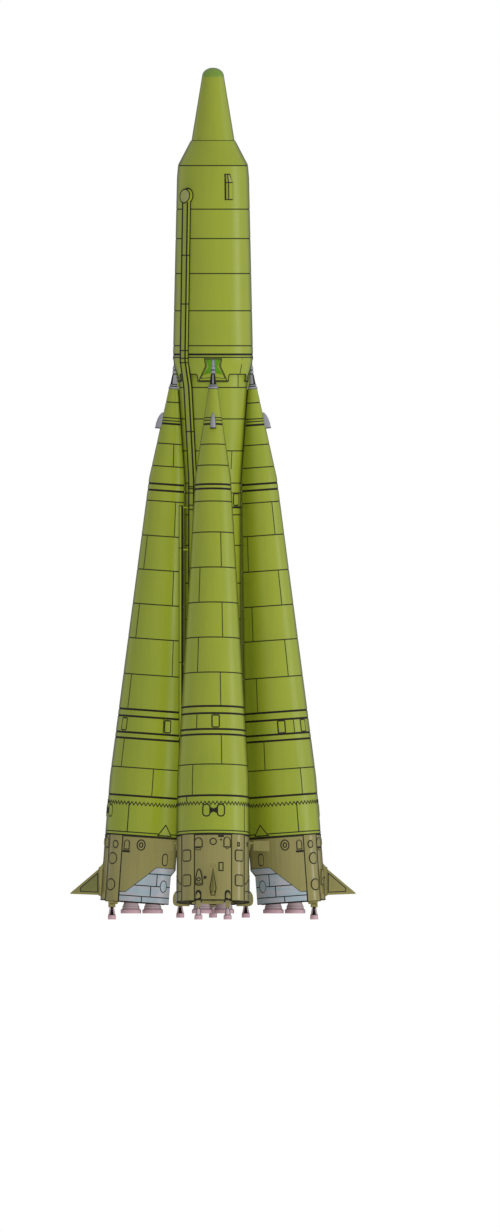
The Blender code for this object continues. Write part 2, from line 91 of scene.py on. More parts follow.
# %% [markdown]
# ## Floor and light
# The rocket stands on a plain pale floor under a white sky. A broad lamp on the front right
# draws the bright band down every tank, a weak one on the far left keeps the shadow side
# open, a narrow one gives the gloss, and two light the base from below. No lamp casts a
# shadow, so every tank is shaded alike, as in a technical drawing. The floor's underside
# lets the camera look through, so that the rocket can also be seen from below.


# %% A helper that adds a shader node with its values
def node(tree, kind, values=None, **settings):
    """Add a node; a value that is a socket is linked, any other is typed in."""
    made = tree.nodes.new(kind)
    for key, value in settings.items():
        setattr(made, key, value)
    for key, value in (values or {}).items():
        if isinstance(value, bpy.types.NodeSocket):
            tree.links.new(value, made.inputs[key])
        else:
            made.inputs[key].default_value = value
    return made


# %% The pale floor, open from below
floor_bm = bmesh.new()
bmesh.ops.create_circle(floor_bm, cap_ends=True, segments=64, radius=150)
floor_mesh = bpy.data.meshes.new("floor")
floor_bm.to_mesh(floor_mesh)
floor_bm.free()
floor = show("floor", floor_mesh)
floor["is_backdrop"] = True
floor_paint = bpy.data.materials.new("pale floor")
floor_paint.use_nodes = True
tree = floor_paint.node_tree
pale = tree.nodes["Principled BSDF"]
pale.inputs["Base Color"].default_value = (0.8, 0.8, 0.79, 1)
pale.inputs["Roughness"].default_value = 0.9
side_seen = node(tree, "ShaderNodeNewGeometry")
clear = node(tree, "ShaderNodeBsdfTransparent")
mixed = node(tree, "ShaderNodeMixShader",
             {0: side_seen.outputs["Backfacing"], 1: pale.outputs[0], 2: clear.outputs[0]})
tree.links.new(mixed.outputs[0], tree.nodes["Material Output"].inputs["Surface"])
floor_mesh.materials.append(floor_paint)

# %% A white sky and five soft lamps
sky = bpy.data.worlds.new("sky")
bpy.context.scene.world = sky
sky.use_nodes = True
tree = sky.node_tree
tree.nodes["Background"].inputs["Strength"].default_value = 0.56
tree.nodes["Background"].inputs["Color"].default_value = (1, 1, 1, 1)
seen = node(tree, "ShaderNodeBackground", {"Color": (1, 1, 1, 1), "Strength": 1.0})
rays = node(tree, "ShaderNodeLightPath")
chosen = node(tree, "ShaderNodeMixShader", {0: rays.outputs["Is Camera Ray"],
                                            1: tree.nodes["Background"].outputs[0],
                                            2: seen.outputs[0]})
tree.links.new(chosen.outputs[0], tree.nodes["World Output"].inputs["Surface"])


def lamp(name, strength, around, above, spread):
    """A distant lamp; its angles are measured from the camera, to the right and up."""
    light = bpy.data.lights.new(name, "SUN")
    light.energy = strength
    light.angle = math.radians(spread)
    light.use_shadow = False
    holder = show(name, light)
    holder.rotation_euler = (math.radians(90 - above), 0, math.radians(around))
    return holder


lamp("broad key", 2.0, 42, 16, 20).visible_glossy = False
lamp("left rim", 0.8, -112, 8, 25).visible_glossy = False
lamp("gloss lamp", 0.34, 79, 4, 7).visible_diffuse = False
lamp("light from below", 0.5, 10, -55, 40).visible_glossy = False
lamp("light from straight below", 1.6, 0, -88, 40).visible_glossy = False

# %% [markdown]
# ## Finishes
# Real paint on a tall tank is never one colour: it is mottled in patches, streaked by rain
# and worn at places. These effects are node groups with named sockets, so that every paint
# can use them with its own values. They read Object coordinates, which are metres here.


# %% Node groups: sockets first, then the nodes between them
def new_group(name, inputs, outputs):
    group = bpy.data.node_groups.new(name, "ShaderNodeTree")
    for way, sockets in (("INPUT", inputs), ("OUTPUT", outputs)):
        for label, kind in sockets:
            group.interface.new_socket(name=label, in_out=way, socket_type="NodeSocket" + kind)
    return group, group.nodes.new("NodeGroupInput"), group.nodes.new("NodeGroupOutput")


def noise(tree, scale, stretch=(1, 1, 1), detail=3.0, rough=0.55):
    """Noise in object space, stretched to a direction."""
    place = node(tree, "ShaderNodeTexCoord")
    turned = node(tree, "ShaderNodeMapping", {"Vector": place.outputs["Object"], "Scale": stretch})
    return node(tree, "ShaderNodeTexNoise", {"Vector": turned.outputs[0], "Scale": scale,
                                             "Detail": detail, "Roughness": rough}).outputs["Fac"]


def ramp(tree, value, low, high, start=0.0, end=1.0):
    return node(tree, "ShaderNodeMapRange", {"Value": value, "From Min": low, "From Max": high,
                                             "To Min": start, "To Max": end}).outputs[0]


def blend(tree, factor, first, second):
    return node(tree, "ShaderNodeMix", {0: factor, 6: first, 7: second}, data_type="RGBA").outputs[2]


def maths(tree, operation, first, second=0.0, clamp=False):
    return node(tree, "ShaderNodeMath", {0: first, 1: second}, operation=operation,
                use_clamp=clamp).outputs[0]


# %% Mottled paint: broad patches and rain streaks
mottle, enter, leave = new_group(
    "mottled paint",
    [("Paint", "Color"), ("Shade", "Color"), ("Patches", "Float"), ("Streaks", "Float")],
    [("Color", "Color"), ("Mask", "Float")])
patches = ramp(mottle, noise(mottle, 0.55, (1, 1, 0.6), 4.0), 0.35, 0.7)
streaks = ramp(mottle, noise(mottle, 1.0, (7, 7, 0.3), 3.0), 0.45, 0.8)
soft = maths(mottle, "MULTIPLY", patches, enter.outputs["Patches"])
lines = maths(mottle, "MULTIPLY", streaks, enter.outputs["Streaks"])
both = maths(mottle, "ADD", soft, lines, clamp=True)
mottle.links.new(blend(mottle, both, enter.outputs["Paint"], enter.outputs["Shade"]),
                 leave.inputs["Color"])
mottle.links.new(both, leave.inputs["Mask"])

# %% Chips: small spots where the undercoat shows
chips, enter, leave = new_group(
    "paint chips", [("Paint", "Color"), ("Undercoat", "Color"), ("Amount", "Float")],
    [("Color", "Color")])
spots = ramp(chips, noise(chips, 9.0, (1, 1, 1), 6.0, 0.7), 0.66, 0.70)
areas = ramp(chips, noise(chips, 0.9, (1, 1, 1), 2.0), 0.5, 0.62)
where = maths(chips, "MULTIPLY", spots, areas)
share = maths(chips, "MULTIPLY", where, enter.outputs["Amount"], clamp=True)
chips.links.new(blend(chips, share, enter.outputs["Paint"], enter.outputs["Undercoat"]),
                leave.inputs["Color"])

# %% Grain: the fine unevenness of sprayed paint and sheet metal
grain, enter, leave = new_group("grain", [("Size", "Float")], [("Height", "Float")])
fine = noise(grain, 1.0, (1, 1, 1), 4.0, 0.6)
grain.links.new(enter.outputs["Size"], fine.node.inputs["Scale"])
grain.links.new(fine, leave.inputs["Height"])

# %% Heat tint: bands of straw and blue round a hot nozzle
heat, enter, leave = new_group(
    "heat tint", [("Metal", "Color"), ("Tint", "Color"), ("Amount", "Float")], [("Color", "Color")])
bands = ramp(heat, noise(heat, 2.2, (0.4, 0.4, 3.0), 2.0), 0.42, 0.62)
warm = maths(heat, "MULTIPLY", bands, enter.outputs["Amount"])
heat.links.new(blend(heat, warm, enter.outputs["Metal"], enter.outputs["Tint"]), leave.inputs["Color"])
print("effects:", [group.name for group in bpy.data.node_groups])


# %% [markdown]
# ## Paints and metals
# One function makes a finish from the groups: mottled colour, chips, and a fine bump. The
# shader itself stays in the material, with plain numbers for what is the same all over. Shade
# is painted where a wall is seen at a glancing angle, which outlines every round form softly.
# From high above or far below all walls are seen at such an angle, so the painted shade fades out there.


# %% The finishes of this rocket
def linear(red, green, blue):
    """A colour given as screen values from 0 to 255, as the shader wants it."""
    values = [part / 255 for part in (red, green, blue)]
    return (*[part / 12.92 if part <= 0.04045 else ((part + 0.055) / 1.055) ** 2.4
              for part in values], 1.0)


PAINTED_EDGE_SHADE = linear(20, 24, 8)
EDGE_START, EDGE_FULL = 0.56, 0.90
STEEP_START, STEEP_FULL = 0.3, 0.6
GLOSS_START, GLOSS, EDGE_GLOSS = 0.60, 0.5, 0.05


def finish(name, paint, shade, undercoat, roughness=0.5, metallic=0.0, patches=0.45, streaks=0.3,
           chipped=0.5, bump=0.15, size=25.0, tint=None, edges=0.9):
    material = bpy.data.materials.new(name)
    material.use_nodes = True
    tree = material.node_tree
    shader = tree.nodes["Principled BSDF"]
    shader.inputs["Roughness"].default_value = roughness
    shader.inputs["Metallic"].default_value = metallic
    coat = node(tree, "ShaderNodeGroup", node_tree=mottle)
    worn = node(tree, "ShaderNodeGroup", node_tree=chips)
    texture = node(tree, "ShaderNodeGroup", node_tree=grain)
    for group, values in ((coat, {"Paint": linear(*paint), "Shade": linear(*shade),
                                  "Patches": patches, "Streaks": streaks}),
                          (worn, {"Undercoat": linear(*undercoat), "Amount": chipped}),
                          (texture, {"Size": size})):
        for key, value in values.items():
            group.inputs[key].default_value = value
    colour = coat.outputs["Color"]
    if tint:
        hot = node(tree, "ShaderNodeGroup", node_tree=heat)
        hot.inputs["Tint"].default_value = linear(*tint)
        hot.inputs["Amount"].default_value = 0.6
        tree.links.new(colour, hot.inputs["Metal"])
        colour = hot.outputs["Color"]
    tree.links.new(colour, worn.inputs["Paint"])
    # Painted shade: the colour darkens where a wall is seen at a glancing angle, less so from high above
    # or below.
    glance = node(tree, "ShaderNodeLayerWeight", {"Blend": 0.5}).outputs["Facing"]
    seen_from = node(tree, "ShaderNodeNewGeometry").outputs["Incoming"]
    height = node(tree, "ShaderNodeSeparateXYZ", {0: seen_from}).outputs["Z"]
    level_view = ramp(tree, maths(tree, "ABSOLUTE", height), STEEP_START, STEEP_FULL, edges, 0.0)
    dark_edge = maths(tree, "MULTIPLY", ramp(tree, glance, EDGE_START, EDGE_FULL), level_view)
    tree.links.new(blend(tree, dark_edge, worn.outputs["Color"], PAINTED_EDGE_SHADE),
                   shader.inputs["Base Color"])
    tree.links.new(ramp(tree, glance, GLOSS_START, EDGE_FULL, GLOSS, EDGE_GLOSS),
                   shader.inputs["Specular IOR Level"])
    rough = ramp(tree, coat.outputs["Mask"], 0.0, 1.0, roughness, min(1.0, roughness + 0.15))
    tree.links.new(rough, shader.inputs["Roughness"])
    bumps = node(tree, "ShaderNodeBump", {"Strength": bump, "Distance": 0.01,
                                          "Height": texture.outputs["Height"]})
    tree.links.new(bumps.outputs[0], shader.inputs["Normal"])
    return material


GREEN = finish("olive green paint", (134, 146, 36), (122, 136, 36), (114, 114, 66), 0.36)
CAP_GREEN = finish("nose cap paint", (104, 134, 44), (92, 124, 44), (110, 112, 66), 0.26)
BRIGHT = finish("bright green primer", (90, 146, 18), (78, 130, 14), (110, 128, 56), 0.6)
LINE = finish("seam sealant", (46, 54, 14), (36, 44, 12), (78, 84, 34), 0.7, chipped=0.2)
KHAKI = finish("khaki paint", (131, 125, 74), (117, 111, 66), (134, 130, 92), 0.45)
SATIN = finish("satin khaki", (131, 125, 74), (117, 111, 66), (134, 130, 92), 0.28, bump=0.03)
DARK = finish("dark seam", (22, 21, 14), (16, 15, 10), (46, 44, 32), 0.75, chipped=0.2)
FIN = finish("fin paint", (122, 119, 66), (108, 105, 58), (116, 114, 76), 0.45, edges=0)
STEEL = finish("blue-grey steel panel", (150, 166, 175), (132, 149, 159), (106, 116, 124), 0.36,
               0.15, tint=(172, 162, 168))
NOZZLE = finish("nozzle metal", (182, 164, 171), (158, 140, 148), (112, 96, 102), 0.36, 0.1,
                tint=(190, 170, 177))
RIM = finish("pink nozzle rim", (188, 156, 166), (168, 138, 148), (132, 106, 114), 0.4, 0.05)
LINING = finish("red nozzle lining", (176, 8, 6), (150, 4, 4), (96, 10, 8), 0.55)
THROAT = finish("black throat", (12, 10, 10), (8, 8, 8), (24, 20, 20), 0.8)
FITTING = finish("grey fitting", (142, 142, 150), (124, 124, 134), (90, 90, 98), 0.4, 0.1)
# An olive for the painted shade in the gap between the core and a booster.
PAINTED_SHADE_OLIVE = finish("painted shade olive strip", (84, 90, 34), (70, 76, 28), (98, 102, 52), 0.6)
STRUT = finish("blue-grey rod", (96, 110, 124), (82, 94, 108), (70, 78, 86), 0.38, 0.3)
PALE = finish("pale olive paint", (140, 146, 82), (128, 134, 72), (112, 112, 66), 0.35)
# A darker copy of the fin paint: painted shade on the left rudder's panel.
SHADED_FIN_PANEL = finish("fin panel paint in painted shade", (104, 105, 56), (90, 92, 48), (120, 118, 80), 0.5, edges=0)
print("finishes:", len(bpy.data.materials))

# %% [markdown]
# ## Where things go
# The core stands upright on the origin. Each of the four boosters is turned to its own side
# and leans in by about four degrees, so a booster's parts are modelled once in its own frame,
# with Z up its axis and X away from the core, and then placed four times.

# %% The booster frames
TILT = math.atan(0.0715)
FOOT = 2.812
BOOSTERS = {"front": -90, "right": 0, "rear": 90, "left": 180}


def at(x, y, z):
    """A matrix that moves to a place."""
    return Matrix.Translation((x, y, z))


def turn(degrees, axis="Z"):
    """A matrix that turns about an axis."""
    return Matrix.Rotation(math.radians(degrees), 4, axis)


def upright(side):
    return turn(BOOSTERS[side])


def leaning(side):
    return upright(side) @ at(FOOT, 0, 0) @ Matrix.Rotation(-TILT, 4, "Y")


def along(height):
    """Distance up a booster's leaning axis to a height above the floor."""
    return height / math.cos(TILT)


# %% [markdown]
# ## Making pieces
# A finished bmesh becomes an object at the origin that rides on a CAD body. Doubles are
# merged and the normals made to point out before anything else happens to the mesh.

# %% From a bmesh to a named piece
MERGE = 0.0002
SHARP = math.radians(32)
made_pieces = []


def to_mesh(bm, name):
    bmesh.ops.remove_doubles(bm, verts=bm.verts, dist=MERGE)
    bmesh.ops.recalc_face_normals(bm, faces=bm.faces)
    mesh = bpy.data.meshes.new(name)
    bm.to_mesh(mesh)
    bm.free()
    mesh.shade_smooth()
    mesh.set_sharp_from_angle(angle=SHARP)
    return mesh


def piece(name, mesh, finishes, slot, replaces=(), body="rocket"):
    """An object at the origin with its finishes, on its body."""
    for material in finishes:
        mesh.materials.append(material)
    made = show(name, mesh)
    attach(made, body)
    if replaces:
        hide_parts(*replaces)
    made_pieces.append(made)


def placed(name, mesh, place, *rest):
    """A copy of a mesh, moved to its place, as a piece."""
    copy = mesh.copy()
    copy.transform(place)
    piece(name, copy, *rest)


def core_piece(name, bm, finishes, slot="green_paint", replaces=()):
    """A piece of the core; a skin replaces the CAD solid that it is named after."""
    if name.endswith("_skin"):
        replaces = [name.removesuffix("_skin")]
    piece(name, to_mesh(bm, name), finishes, slot, replaces)


def on_boosters(name, bm, finishes, slot, place=leaning, replaces=None, sides=tuple(BOOSTERS)):
    """The same piece on some or all of the boosters."""
    mesh = to_mesh(bm, name)
    for side in sides:
        full = f"booster_{side}_"
        placed(full + name, mesh, place(side), finishes, slot, [full + replaces] if replaces else ())
    bpy.data.meshes.remove(mesh)


# %% Joining small shapes into one bmesh
def add(target, bm, place=Matrix()):
    part = bpy.data.meshes.new("part")
    bmesh.ops.transform(bm, matrix=place, verts=bm.verts)
    bm.to_mesh(part)
    bm.free()
    target.from_mesh(part)
    bpy.data.meshes.remove(part)


def verts_of(result):
    return [item for item in result["geom"] if isinstance(item, bmesh.types.BMVert)]


def faces_of(result):
    return [item for item in result["geom"] if isinstance(item, bmesh.types.BMFace)]


# %% [markdown]
# ## Round walls with weld grooves
# A tank is a line of points spun round its axis. Real tanks are rings of sheet welded
# together, and the welds show as dark lines. Here each weld is a shallow groove in the
# spun line. Its faces take the sealant's finish, or the dark one where the groove is bold.

# %% Spinning a wall
SKIN_SIDES = 96
GROOVE_HALF = 0.022
GROOVE_DEPTH = 0.012
BOLD_HALF = 1.7 * GROOVE_HALF


def spun(profile, sides=SKIN_SIDES):
    """Spin a line of (radius, height) points about Z."""
    bm = bmesh.new()
    points = [bm.verts.new((radius, 0, height)) for radius, height in profile]
    lines = [bm.edges.new(pair) for pair in zip(points, points[1:])]
    bmesh.ops.spin(bm, geom=points + lines, cent=(0, 0, 0), axis=(0, 0, 1), angle=2 * math.pi,
                   steps=sides, use_merge=True)
    bmesh.ops.remove_doubles(bm, verts=bm.verts, dist=MERGE)
    return bm


def spun_in_colours(rows, sides):
    """Spin (radius, height, finish) rows; each finish is for the line that ends at its point."""
    bm = spun([row[:2] for row in rows], sides)
    lines = [(Vector(start[:2]), Vector(end[:2]), end[2]) for start, end in zip(rows, rows[1:])]
    for face in bm.faces:
        middle = face.calc_center_median()
        here = Vector((math.hypot(middle.x, middle.y), middle.z))

        def gap(line):
            share = (here - line[0]).dot(line[1] - line[0]) / (line[1] - line[0]).length_squared
            return (here - line[0].lerp(line[1], max(0, min(1, share)))).length

        face.material_index = min(lines, key=gap)[2]
    return bm


def wall_of(stations):
    """The radius at any height, from a list of (height, radius) going up."""
    def radius(height, angle=0.0):
        for (low, at_low), (high, at_high) in zip(stations, stations[1:]):
            if height <= high:
                break
        share = (height - low) / (high - low)
        return at_low + share * (at_high - at_low)
    return radius


def grooved(stations, welds=(), bold=(), sides=SKIN_SIDES):
    """A closed skin over the stations, with a groove at each weld and a wide one at each bold."""
    wall = wall_of(stations)
    rows = [(height, radius) for height, radius in stations]
    marks = [(height, GROOVE_HALF) for height in welds] + [(height, BOLD_HALF) for height in bold]
    for height, half in marks:
        rows = [row for row in rows if abs(row[0] - height) > half]
        for offset, depth in ((-1, 0), (-0.7, GROOVE_DEPTH), (0.7, GROOVE_DEPTH), (1, 0)):
            level = height + offset * half
            rows.append((level, wall(level) - depth))
    rows.sort()
    profile = [(0, rows[0][0])] + [(radius, height) for height, radius in rows] + [(0, rows[-1][0])]
    bm = spun(profile, sides)
    for face in bm.faces:
        level = face.calc_center_median().z
        for height, half in marks:
            if abs(level - height) < half:
                face.material_index = 2 if height in bold else 1
    return bm


# %% [markdown]
# ## Flat fittings on round walls
# Hatches, covers and panels are modelled lying flat, with X across, Y up and Z out of the
# wall, because rounded corners and rims are simple there. They are then cut into narrow
# strips and bent onto the wall, the way a sheet-metal worker rolls a patch to fit a tank.

# %% Flat outlines
def rectangle(width, height, corner=0.0, steps=4):
    bm = bmesh.new()
    bmesh.ops.create_grid(bm, x_segments=1, y_segments=1, size=0.5)
    bmesh.ops.scale(bm, vec=(width, height, 1), verts=bm.verts)
    if corner:
        bmesh.ops.bevel(bm, geom=bm.verts[:], offset=corner, segments=steps, profile=0.5,
                        affect="VERTICES", material=-1, clamp_overlap=True)
    return bm


def arch(width, height, corner=None):
    """A rectangle whose two top corners are rounded off."""
    bm = rectangle(width, height)
    top = [vert for vert in bm.verts if vert.co.y > 0]
    bmesh.ops.bevel(bm, geom=top, offset=0.999 * (corner or width / 2), segments=6, profile=0.5,
                    affect="VERTICES", material=-1)
    return bm


def disc(radius, tall=1.0, sides=20):
    bm = bmesh.new()
    bmesh.ops.create_circle(bm, cap_ends=True, segments=sides, radius=radius)
    bmesh.ops.scale(bm, vec=(1, tall, 1), verts=bm.verts)
    return bm


def flat(points):
    """A flat face from its corners, anticlockwise."""
    bm = bmesh.new()
    bm.faces.new([bm.verts.new((x, y, 0)) for x, y in points])
    bm.normal_update()
    return bm


# %% Thickness, rim and bend
SUNK = 0.02


def thick(bm, depth):
    """Turn a flat outline into a plate of some depth along Z."""
    grown = bmesh.ops.extrude_face_region(bm, geom=bm.faces[:], use_keep_orig=True)
    bmesh.ops.translate(bm, verts=verts_of(grown), vec=(0, 0, depth))
    return bm


def paint_faces(faces, index):
    for face in faces:
        face.material_index = index


def painted(bm, index):
    """The same bmesh with one finish on every face."""
    paint_faces(bm.faces, index)
    return bm


def dark_edges(bm, edges, width=0.02):
    """Cut these edges off at a slant and paint the cut dark."""
    cut = bmesh.ops.bevel(bm, geom=edges, offset=width, segments=1, profile=0.5, affect="EDGES",
                          material=-1)
    paint_faces(cut["faces"], 1)


def hollow(bm, wide):
    """Keep only a band along the edge of a flat outline."""
    middle = bm.faces[:]
    bmesh.ops.inset_region(bm, faces=middle, thickness=wide, depth=0, use_boundary=True,
                           use_even_offset=True)
    bmesh.ops.delete(bm, geom=middle, context="FACES")
    return bm


def hoop(inner, outer, first, last):
    """A ring with a square section, between two radii and two heights."""
    return spun([(inner, first), (outer, first), (outer, last), (inner, last), (inner, first)])


def slice_by(bm, point, normal, faces=None, drop=False):
    """Cut all or some faces with a plane; drop what lies beyond it and close the cut."""
    if faces is None:
        geom = bm.verts[:] + bm.edges[:] + bm.faces[:]
    else:
        ends = dict.fromkeys(item for face in faces for item in (*face.verts, *face.edges))
        geom = [*ends, *faces]
    bmesh.ops.bisect_plane(bm, geom=geom, plane_co=point, plane_no=normal, clear_outer=drop)
    if drop:
        bmesh.ops.holes_fill(bm, edges=[edge for edge in bm.edges if edge.is_boundary])


def raised(bm, proud=0.012, rim=0.0, middle=0.0, dark=1):
    """Give a flat face thickness, a dark rim and a middle that stands out further."""
    grown = bmesh.ops.extrude_face_region(bm, geom=bm.faces[:], use_keep_orig=True)
    top = faces_of(grown)
    low = [vert for vert in bm.verts if vert not in set(verts_of(grown))]
    bmesh.ops.translate(bm, verts=low, vec=(0, 0, -SUNK))
    bmesh.ops.translate(bm, verts=verts_of(grown), vec=(0, 0, proud))
    if rim:
        ring = bmesh.ops.inset_region(bm, faces=top, thickness=rim, depth=0, use_even_offset=True)
        paint_faces(ring["faces"], dark)
        if middle:
            lip = bmesh.ops.inset_region(bm, faces=top, thickness=0.3 * middle + 0.004, depth=middle,
                                         use_even_offset=True)
            paint_faces(lip["faces"], 0)
    return bm


def bent(bm, wall, angle, height, strip=0.08, lean=0.0):
    """Cut a flat fitting into strips and bend it onto a wall at an angle in degrees."""
    bmesh.ops.rotate(bm, verts=bm.verts, cent=(0, 0, 0), matrix=Matrix.Rotation(lean, 3, "Z"))
    reach = int(max(abs(vert.co.x) for vert in bm.verts) / strip)
    for count in range(-reach, reach + 1):
        slice_by(bm, (count * strip, 0, 0), (1, 0, 0))
    for vert in bm.verts:
        level = height + vert.co.y
        turned = math.radians(angle) + vert.co.x / wall(level)
        radius = wall(level, turned) + vert.co.z
        vert.co = (radius * math.cos(turned), radius * math.sin(turned), level)
    return bm


CUT = 0.3


def seam(target, wall, angle, low, high, width=0.034, proud=0.006, index=1):
    """A straight vertical seam from low to high."""
    strip = painted(raised(rectangle(width, high - low), proud), index)
    for step in range(1, int((high - low) / CUT) + 1):
        slice_by(strip, (0, step * CUT - (high - low) / 2, 0), (0, 1, 0))
    add(target, bent(strip, wall, angle, (low + high) / 2))


# %% [markdown]
# ## The nose
# The nose ends in a smooth, slightly greener cap on a slim cone. Below the cone a flare
# widens to the body. All three are spun; the cap is a quarter of an ellipse.

# %% Cap, cone and flare
TIP, CAP_BASE, CAP_RADIUS = 30.92, 30.60, 0.40
CAP_FOOT = CAP_BASE - 0.012
NOSE_SIDES = 64
FLARE_TOP, FLARE_LIP = 28.285, 28.264
cap_line = [(CAP_RADIUS * math.sin(step * math.pi / 20), CAP_BASE + (TIP - CAP_BASE)
             * math.cos(step * math.pi / 20)) for step in range(11)]
cap = spun(cap_line + [(0.394, CAP_FOOT), (0, CAP_FOOT)], NOSE_SIDES)
core_piece("nose_cap", cap, [CAP_GREEN], replaces=["nose_cone"])
cone = grooved([(FLARE_TOP, 0.78), (CAP_FOOT, CAP_RADIUS + 0.002)], sides=NOSE_SIDES)
core_piece("nose_cone_skin", cone, [GREEN])
flare = grooved([(27.39, 1.27), (FLARE_LIP - 0.002, 0.815), (FLARE_LIP + 0.002, 0.79), (FLARE_TOP, 0.79)])
paint_faces([face for face in flare.faces if face.calc_center_median().z > FLARE_LIP], 1)
core_piece("nose_flare_skin", flare, [GREEN, LINE])
TANK_FINISH = [GREEN, LINE, DARK]
print("nose tip at", TIP, "m")

# %% [markdown]
# ## The core's tanks
# The upper tank widens slowly downwards to the waist. The lower tank is a cone between the
# boosters. Ring welds sit where the sheets meet.

# %% Upper and lower tank skins
UPPER = [(20.42, 1.45), (20.60, 1.45), (26.92, 1.31), (27.39, 1.27)]
LOWER = [(3.0, 1.0145), (15.95, 1.0145), (19.31, 1.247), (19.79, 1.247)]
upper_wall, lower_wall = wall_of(UPPER), wall_of(LOWER)
upper = grooved(UPPER, [20.826, 22.096, 23.446, 24.717, 25.784, 27.366], [20.51])
core_piece("core_upper_tank_skin", upper, TANK_FINISH)
lower = grooved(LOWER, [4.4, 5.7, 7.0, 8.3, 9.6, 10.9, 12.21, 13.58, 14.69, 15.48, 15.84, 17.01,
                        18.17, 19.31], [14.96])
core_piece("core_lower_tank_skin", lower, TANK_FINISH)

# %% Seams and the small hatch on the core
core_marks = bmesh.new()
WAIST_SEAMS = (-43.2, 46.8, 136.8, 226.8)
for low, high, angle in ((16.35, 17.01, -51), (15.84, 17.01, 130), (17.01, 19.31, 40),
                         (17.01, 19.31, 140), (13.58, 14.69, 48), (12.21, 13.58, 140)):
    seam(core_marks, lower_wall, angle, low, high)
for angle in WAIST_SEAMS:
    seam(core_marks, lower_wall, angle, 19.31, 19.79)
for angle in (-34.5, 145.5):
    hatch = raised(rectangle(0.37, 0.48, 0.09), 0.012, 0.048, 0.01, dark=2)
    add(core_marks, bent(hatch, lower_wall, angle, 15.245))
core_piece("core_tank_marks", core_marks, TANK_FINISH)

# %% [markdown]
# ## The waist
# Below the widest ring a conical skirt hangs down in four tabs. Each tab has a bow-tie
# pocket that takes a booster's nose pin. The skirt is spun, its notches are cut away with
# planes, and the pockets are cut out the same way and pressed inwards.

# %% The skirt, with notches and pockets
SKIRT = [(19.49, 1.27), (20.26, 1.45), (20.42, 1.45)]
skirt_wall = wall_of(SKIRT)
NOTCH, TAB_HALF = 19.79, math.radians(26)
NEAR_SIDE, PRESSED = 1.1, 0.15
POCKET = [(-0.362, 19.75), (0, 19.87), (0.362, 19.75), (0.165, 20.06), (0.262, 20.345),
          (-0.262, 20.345), (-0.165, 20.06)]


def angle_of(point):
    return math.atan2(point.y, point.x)


skirt = spun([(1.45, 20.42), (1.45, 20.26), (1.27, 19.49)], 144)
slice_by(skirt, (0, 0, NOTCH), (0, 0, 1))
for quarter in range(4):
    for way in (-1, 1):
        edge = quarter * math.pi / 2 + way * TAB_HALF
        slice_by(skirt, (0, 0, 0), (-math.sin(edge), math.cos(edge), 0))
gone = [face for face in skirt.faces if face.calc_center_median().z < NOTCH
        and abs(math.remainder(angle_of(face.calc_center_median()), math.pi / 2)) > TAB_HALF]
bmesh.ops.delete(skirt, geom=gone, context="FACES")


def inside(x, y, corners):
    """True where a point lies in a closed outline."""
    hit = False
    for (x1, y1), (x2, y2) in zip(corners, corners[1:] + corners[:1]):
        if (y1 > y) != (y2 > y) and x < x1 + (y - y1) * (x2 - x1) / (y2 - y1):
            hit = not hit
    return hit


for quarter in range(4):
    out = Vector((math.cos(quarter * math.pi / 2), math.sin(quarter * math.pi / 2), 0))
    across = Vector((-out.y, out.x, 0))
    for (x1, y1), (x2, y2) in zip(POCKET, POCKET[1:] + POCKET[:1]):
        near = [face for face in skirt.faces if face.calc_center_median().dot(out) > NEAR_SIDE]
        line = across * (x2 - x1) + Vector((0, 0, y2 - y1))
        slice_by(skirt, across * x1 + Vector((0, 0, y1)), line.cross(out), near)
    pocket = [face for face in skirt.faces if face.calc_center_median().dot(out) > NEAR_SIDE
              and inside(face.calc_center_median().dot(across), face.calc_center_median().z, POCKET)]
    pressed = bmesh.ops.extrude_face_region(skirt, geom=pocket)
    bmesh.ops.translate(skirt, verts=verts_of(pressed), vec=-PRESSED * out)
    for vert in verts_of(pressed):
        paint_faces(vert.link_faces, 2)
    bmesh.ops.delete(skirt, geom=[face for face in pocket if face.is_valid], context="FACES")
bmesh.ops.remove_doubles(skirt, verts=skirt.verts, dist=MERGE)
bmesh.ops.recalc_face_normals(skirt, faces=skirt.faces)
if sum(face.normal.dot(face.calc_center_median() * Vector((1, 1, 0))) for face in skirt.faces) < 0:
    bmesh.ops.reverse_faces(skirt, faces=skirt.faces)
print("skirt faces:", len(skirt.faces))
bmesh.ops.solidify(skirt, geom=skirt.faces[:], thickness=0.02)
core_piece("core_waist_skirt_skin", skirt, [GREEN, LINE, BRIGHT])

# %% The skirt's underside, its welds and the pocket frames
underside = spun([(1.2475, 19.81), (1.318, 19.81), (1.322, 19.83), (1.2475, 19.83), (1.2475, 19.81)])
core_piece("core_waist_underside", underside, [BRIGHT])
frames = bmesh.new()
RING, RING_HALF = 20.405, 0.02
add(frames, painted(hoop(1.45 - 0.01, 1.45 + 0.005, RING - RING_HALF, RING + RING_HALF), 2))


def ribbon(outline, wide, proud=0.006):
    """A raised line along the edge of a flat outline, which stays empty inside."""
    return raised(hollow(outline, wide), proud)


OUTER_FRAME = [(-0.55, 19.545), (0.55, 19.545), (0.288, 20.08), (0.335, 20.37), (-0.335, 20.37),
               (-0.288, 20.08)]
INNER_FRAME = [(-0.47, 19.62), (0, 19.67), (0.47, 19.62), (0.235, 20.08), (0.285, 20.35),
               (-0.285, 20.35), (-0.235, 20.08)]
BEND = SKIRT[1][0]
for angle in BOOSTERS.values():
    for outline, wide, index in ((OUTER_FRAME, 0.032, 2), (INNER_FRAME, 0.024, 1)):
        ring = ribbon(flat([(x, y - 20) for x, y in outline]), wide)
        slice_by(ring, (0, BEND - 20, 0), (0, 1, 0))
        add(frames, painted(bent(ring, skirt_wall, angle, 20), index))
for angle in WAIST_SEAMS:
    seam(frames, skirt_wall, angle, NOTCH, BEND + 0.10)

# %% [markdown]
# ## The hem of the skirt
# The hem steps up and down round the skirt like a castle wall, with rounded corners. A dark
# rolled edge follows it. A tab's edge is the lower part of a rounded ribbon, and a notch's
# edge is the upper part of one, so the two meet halfway up.

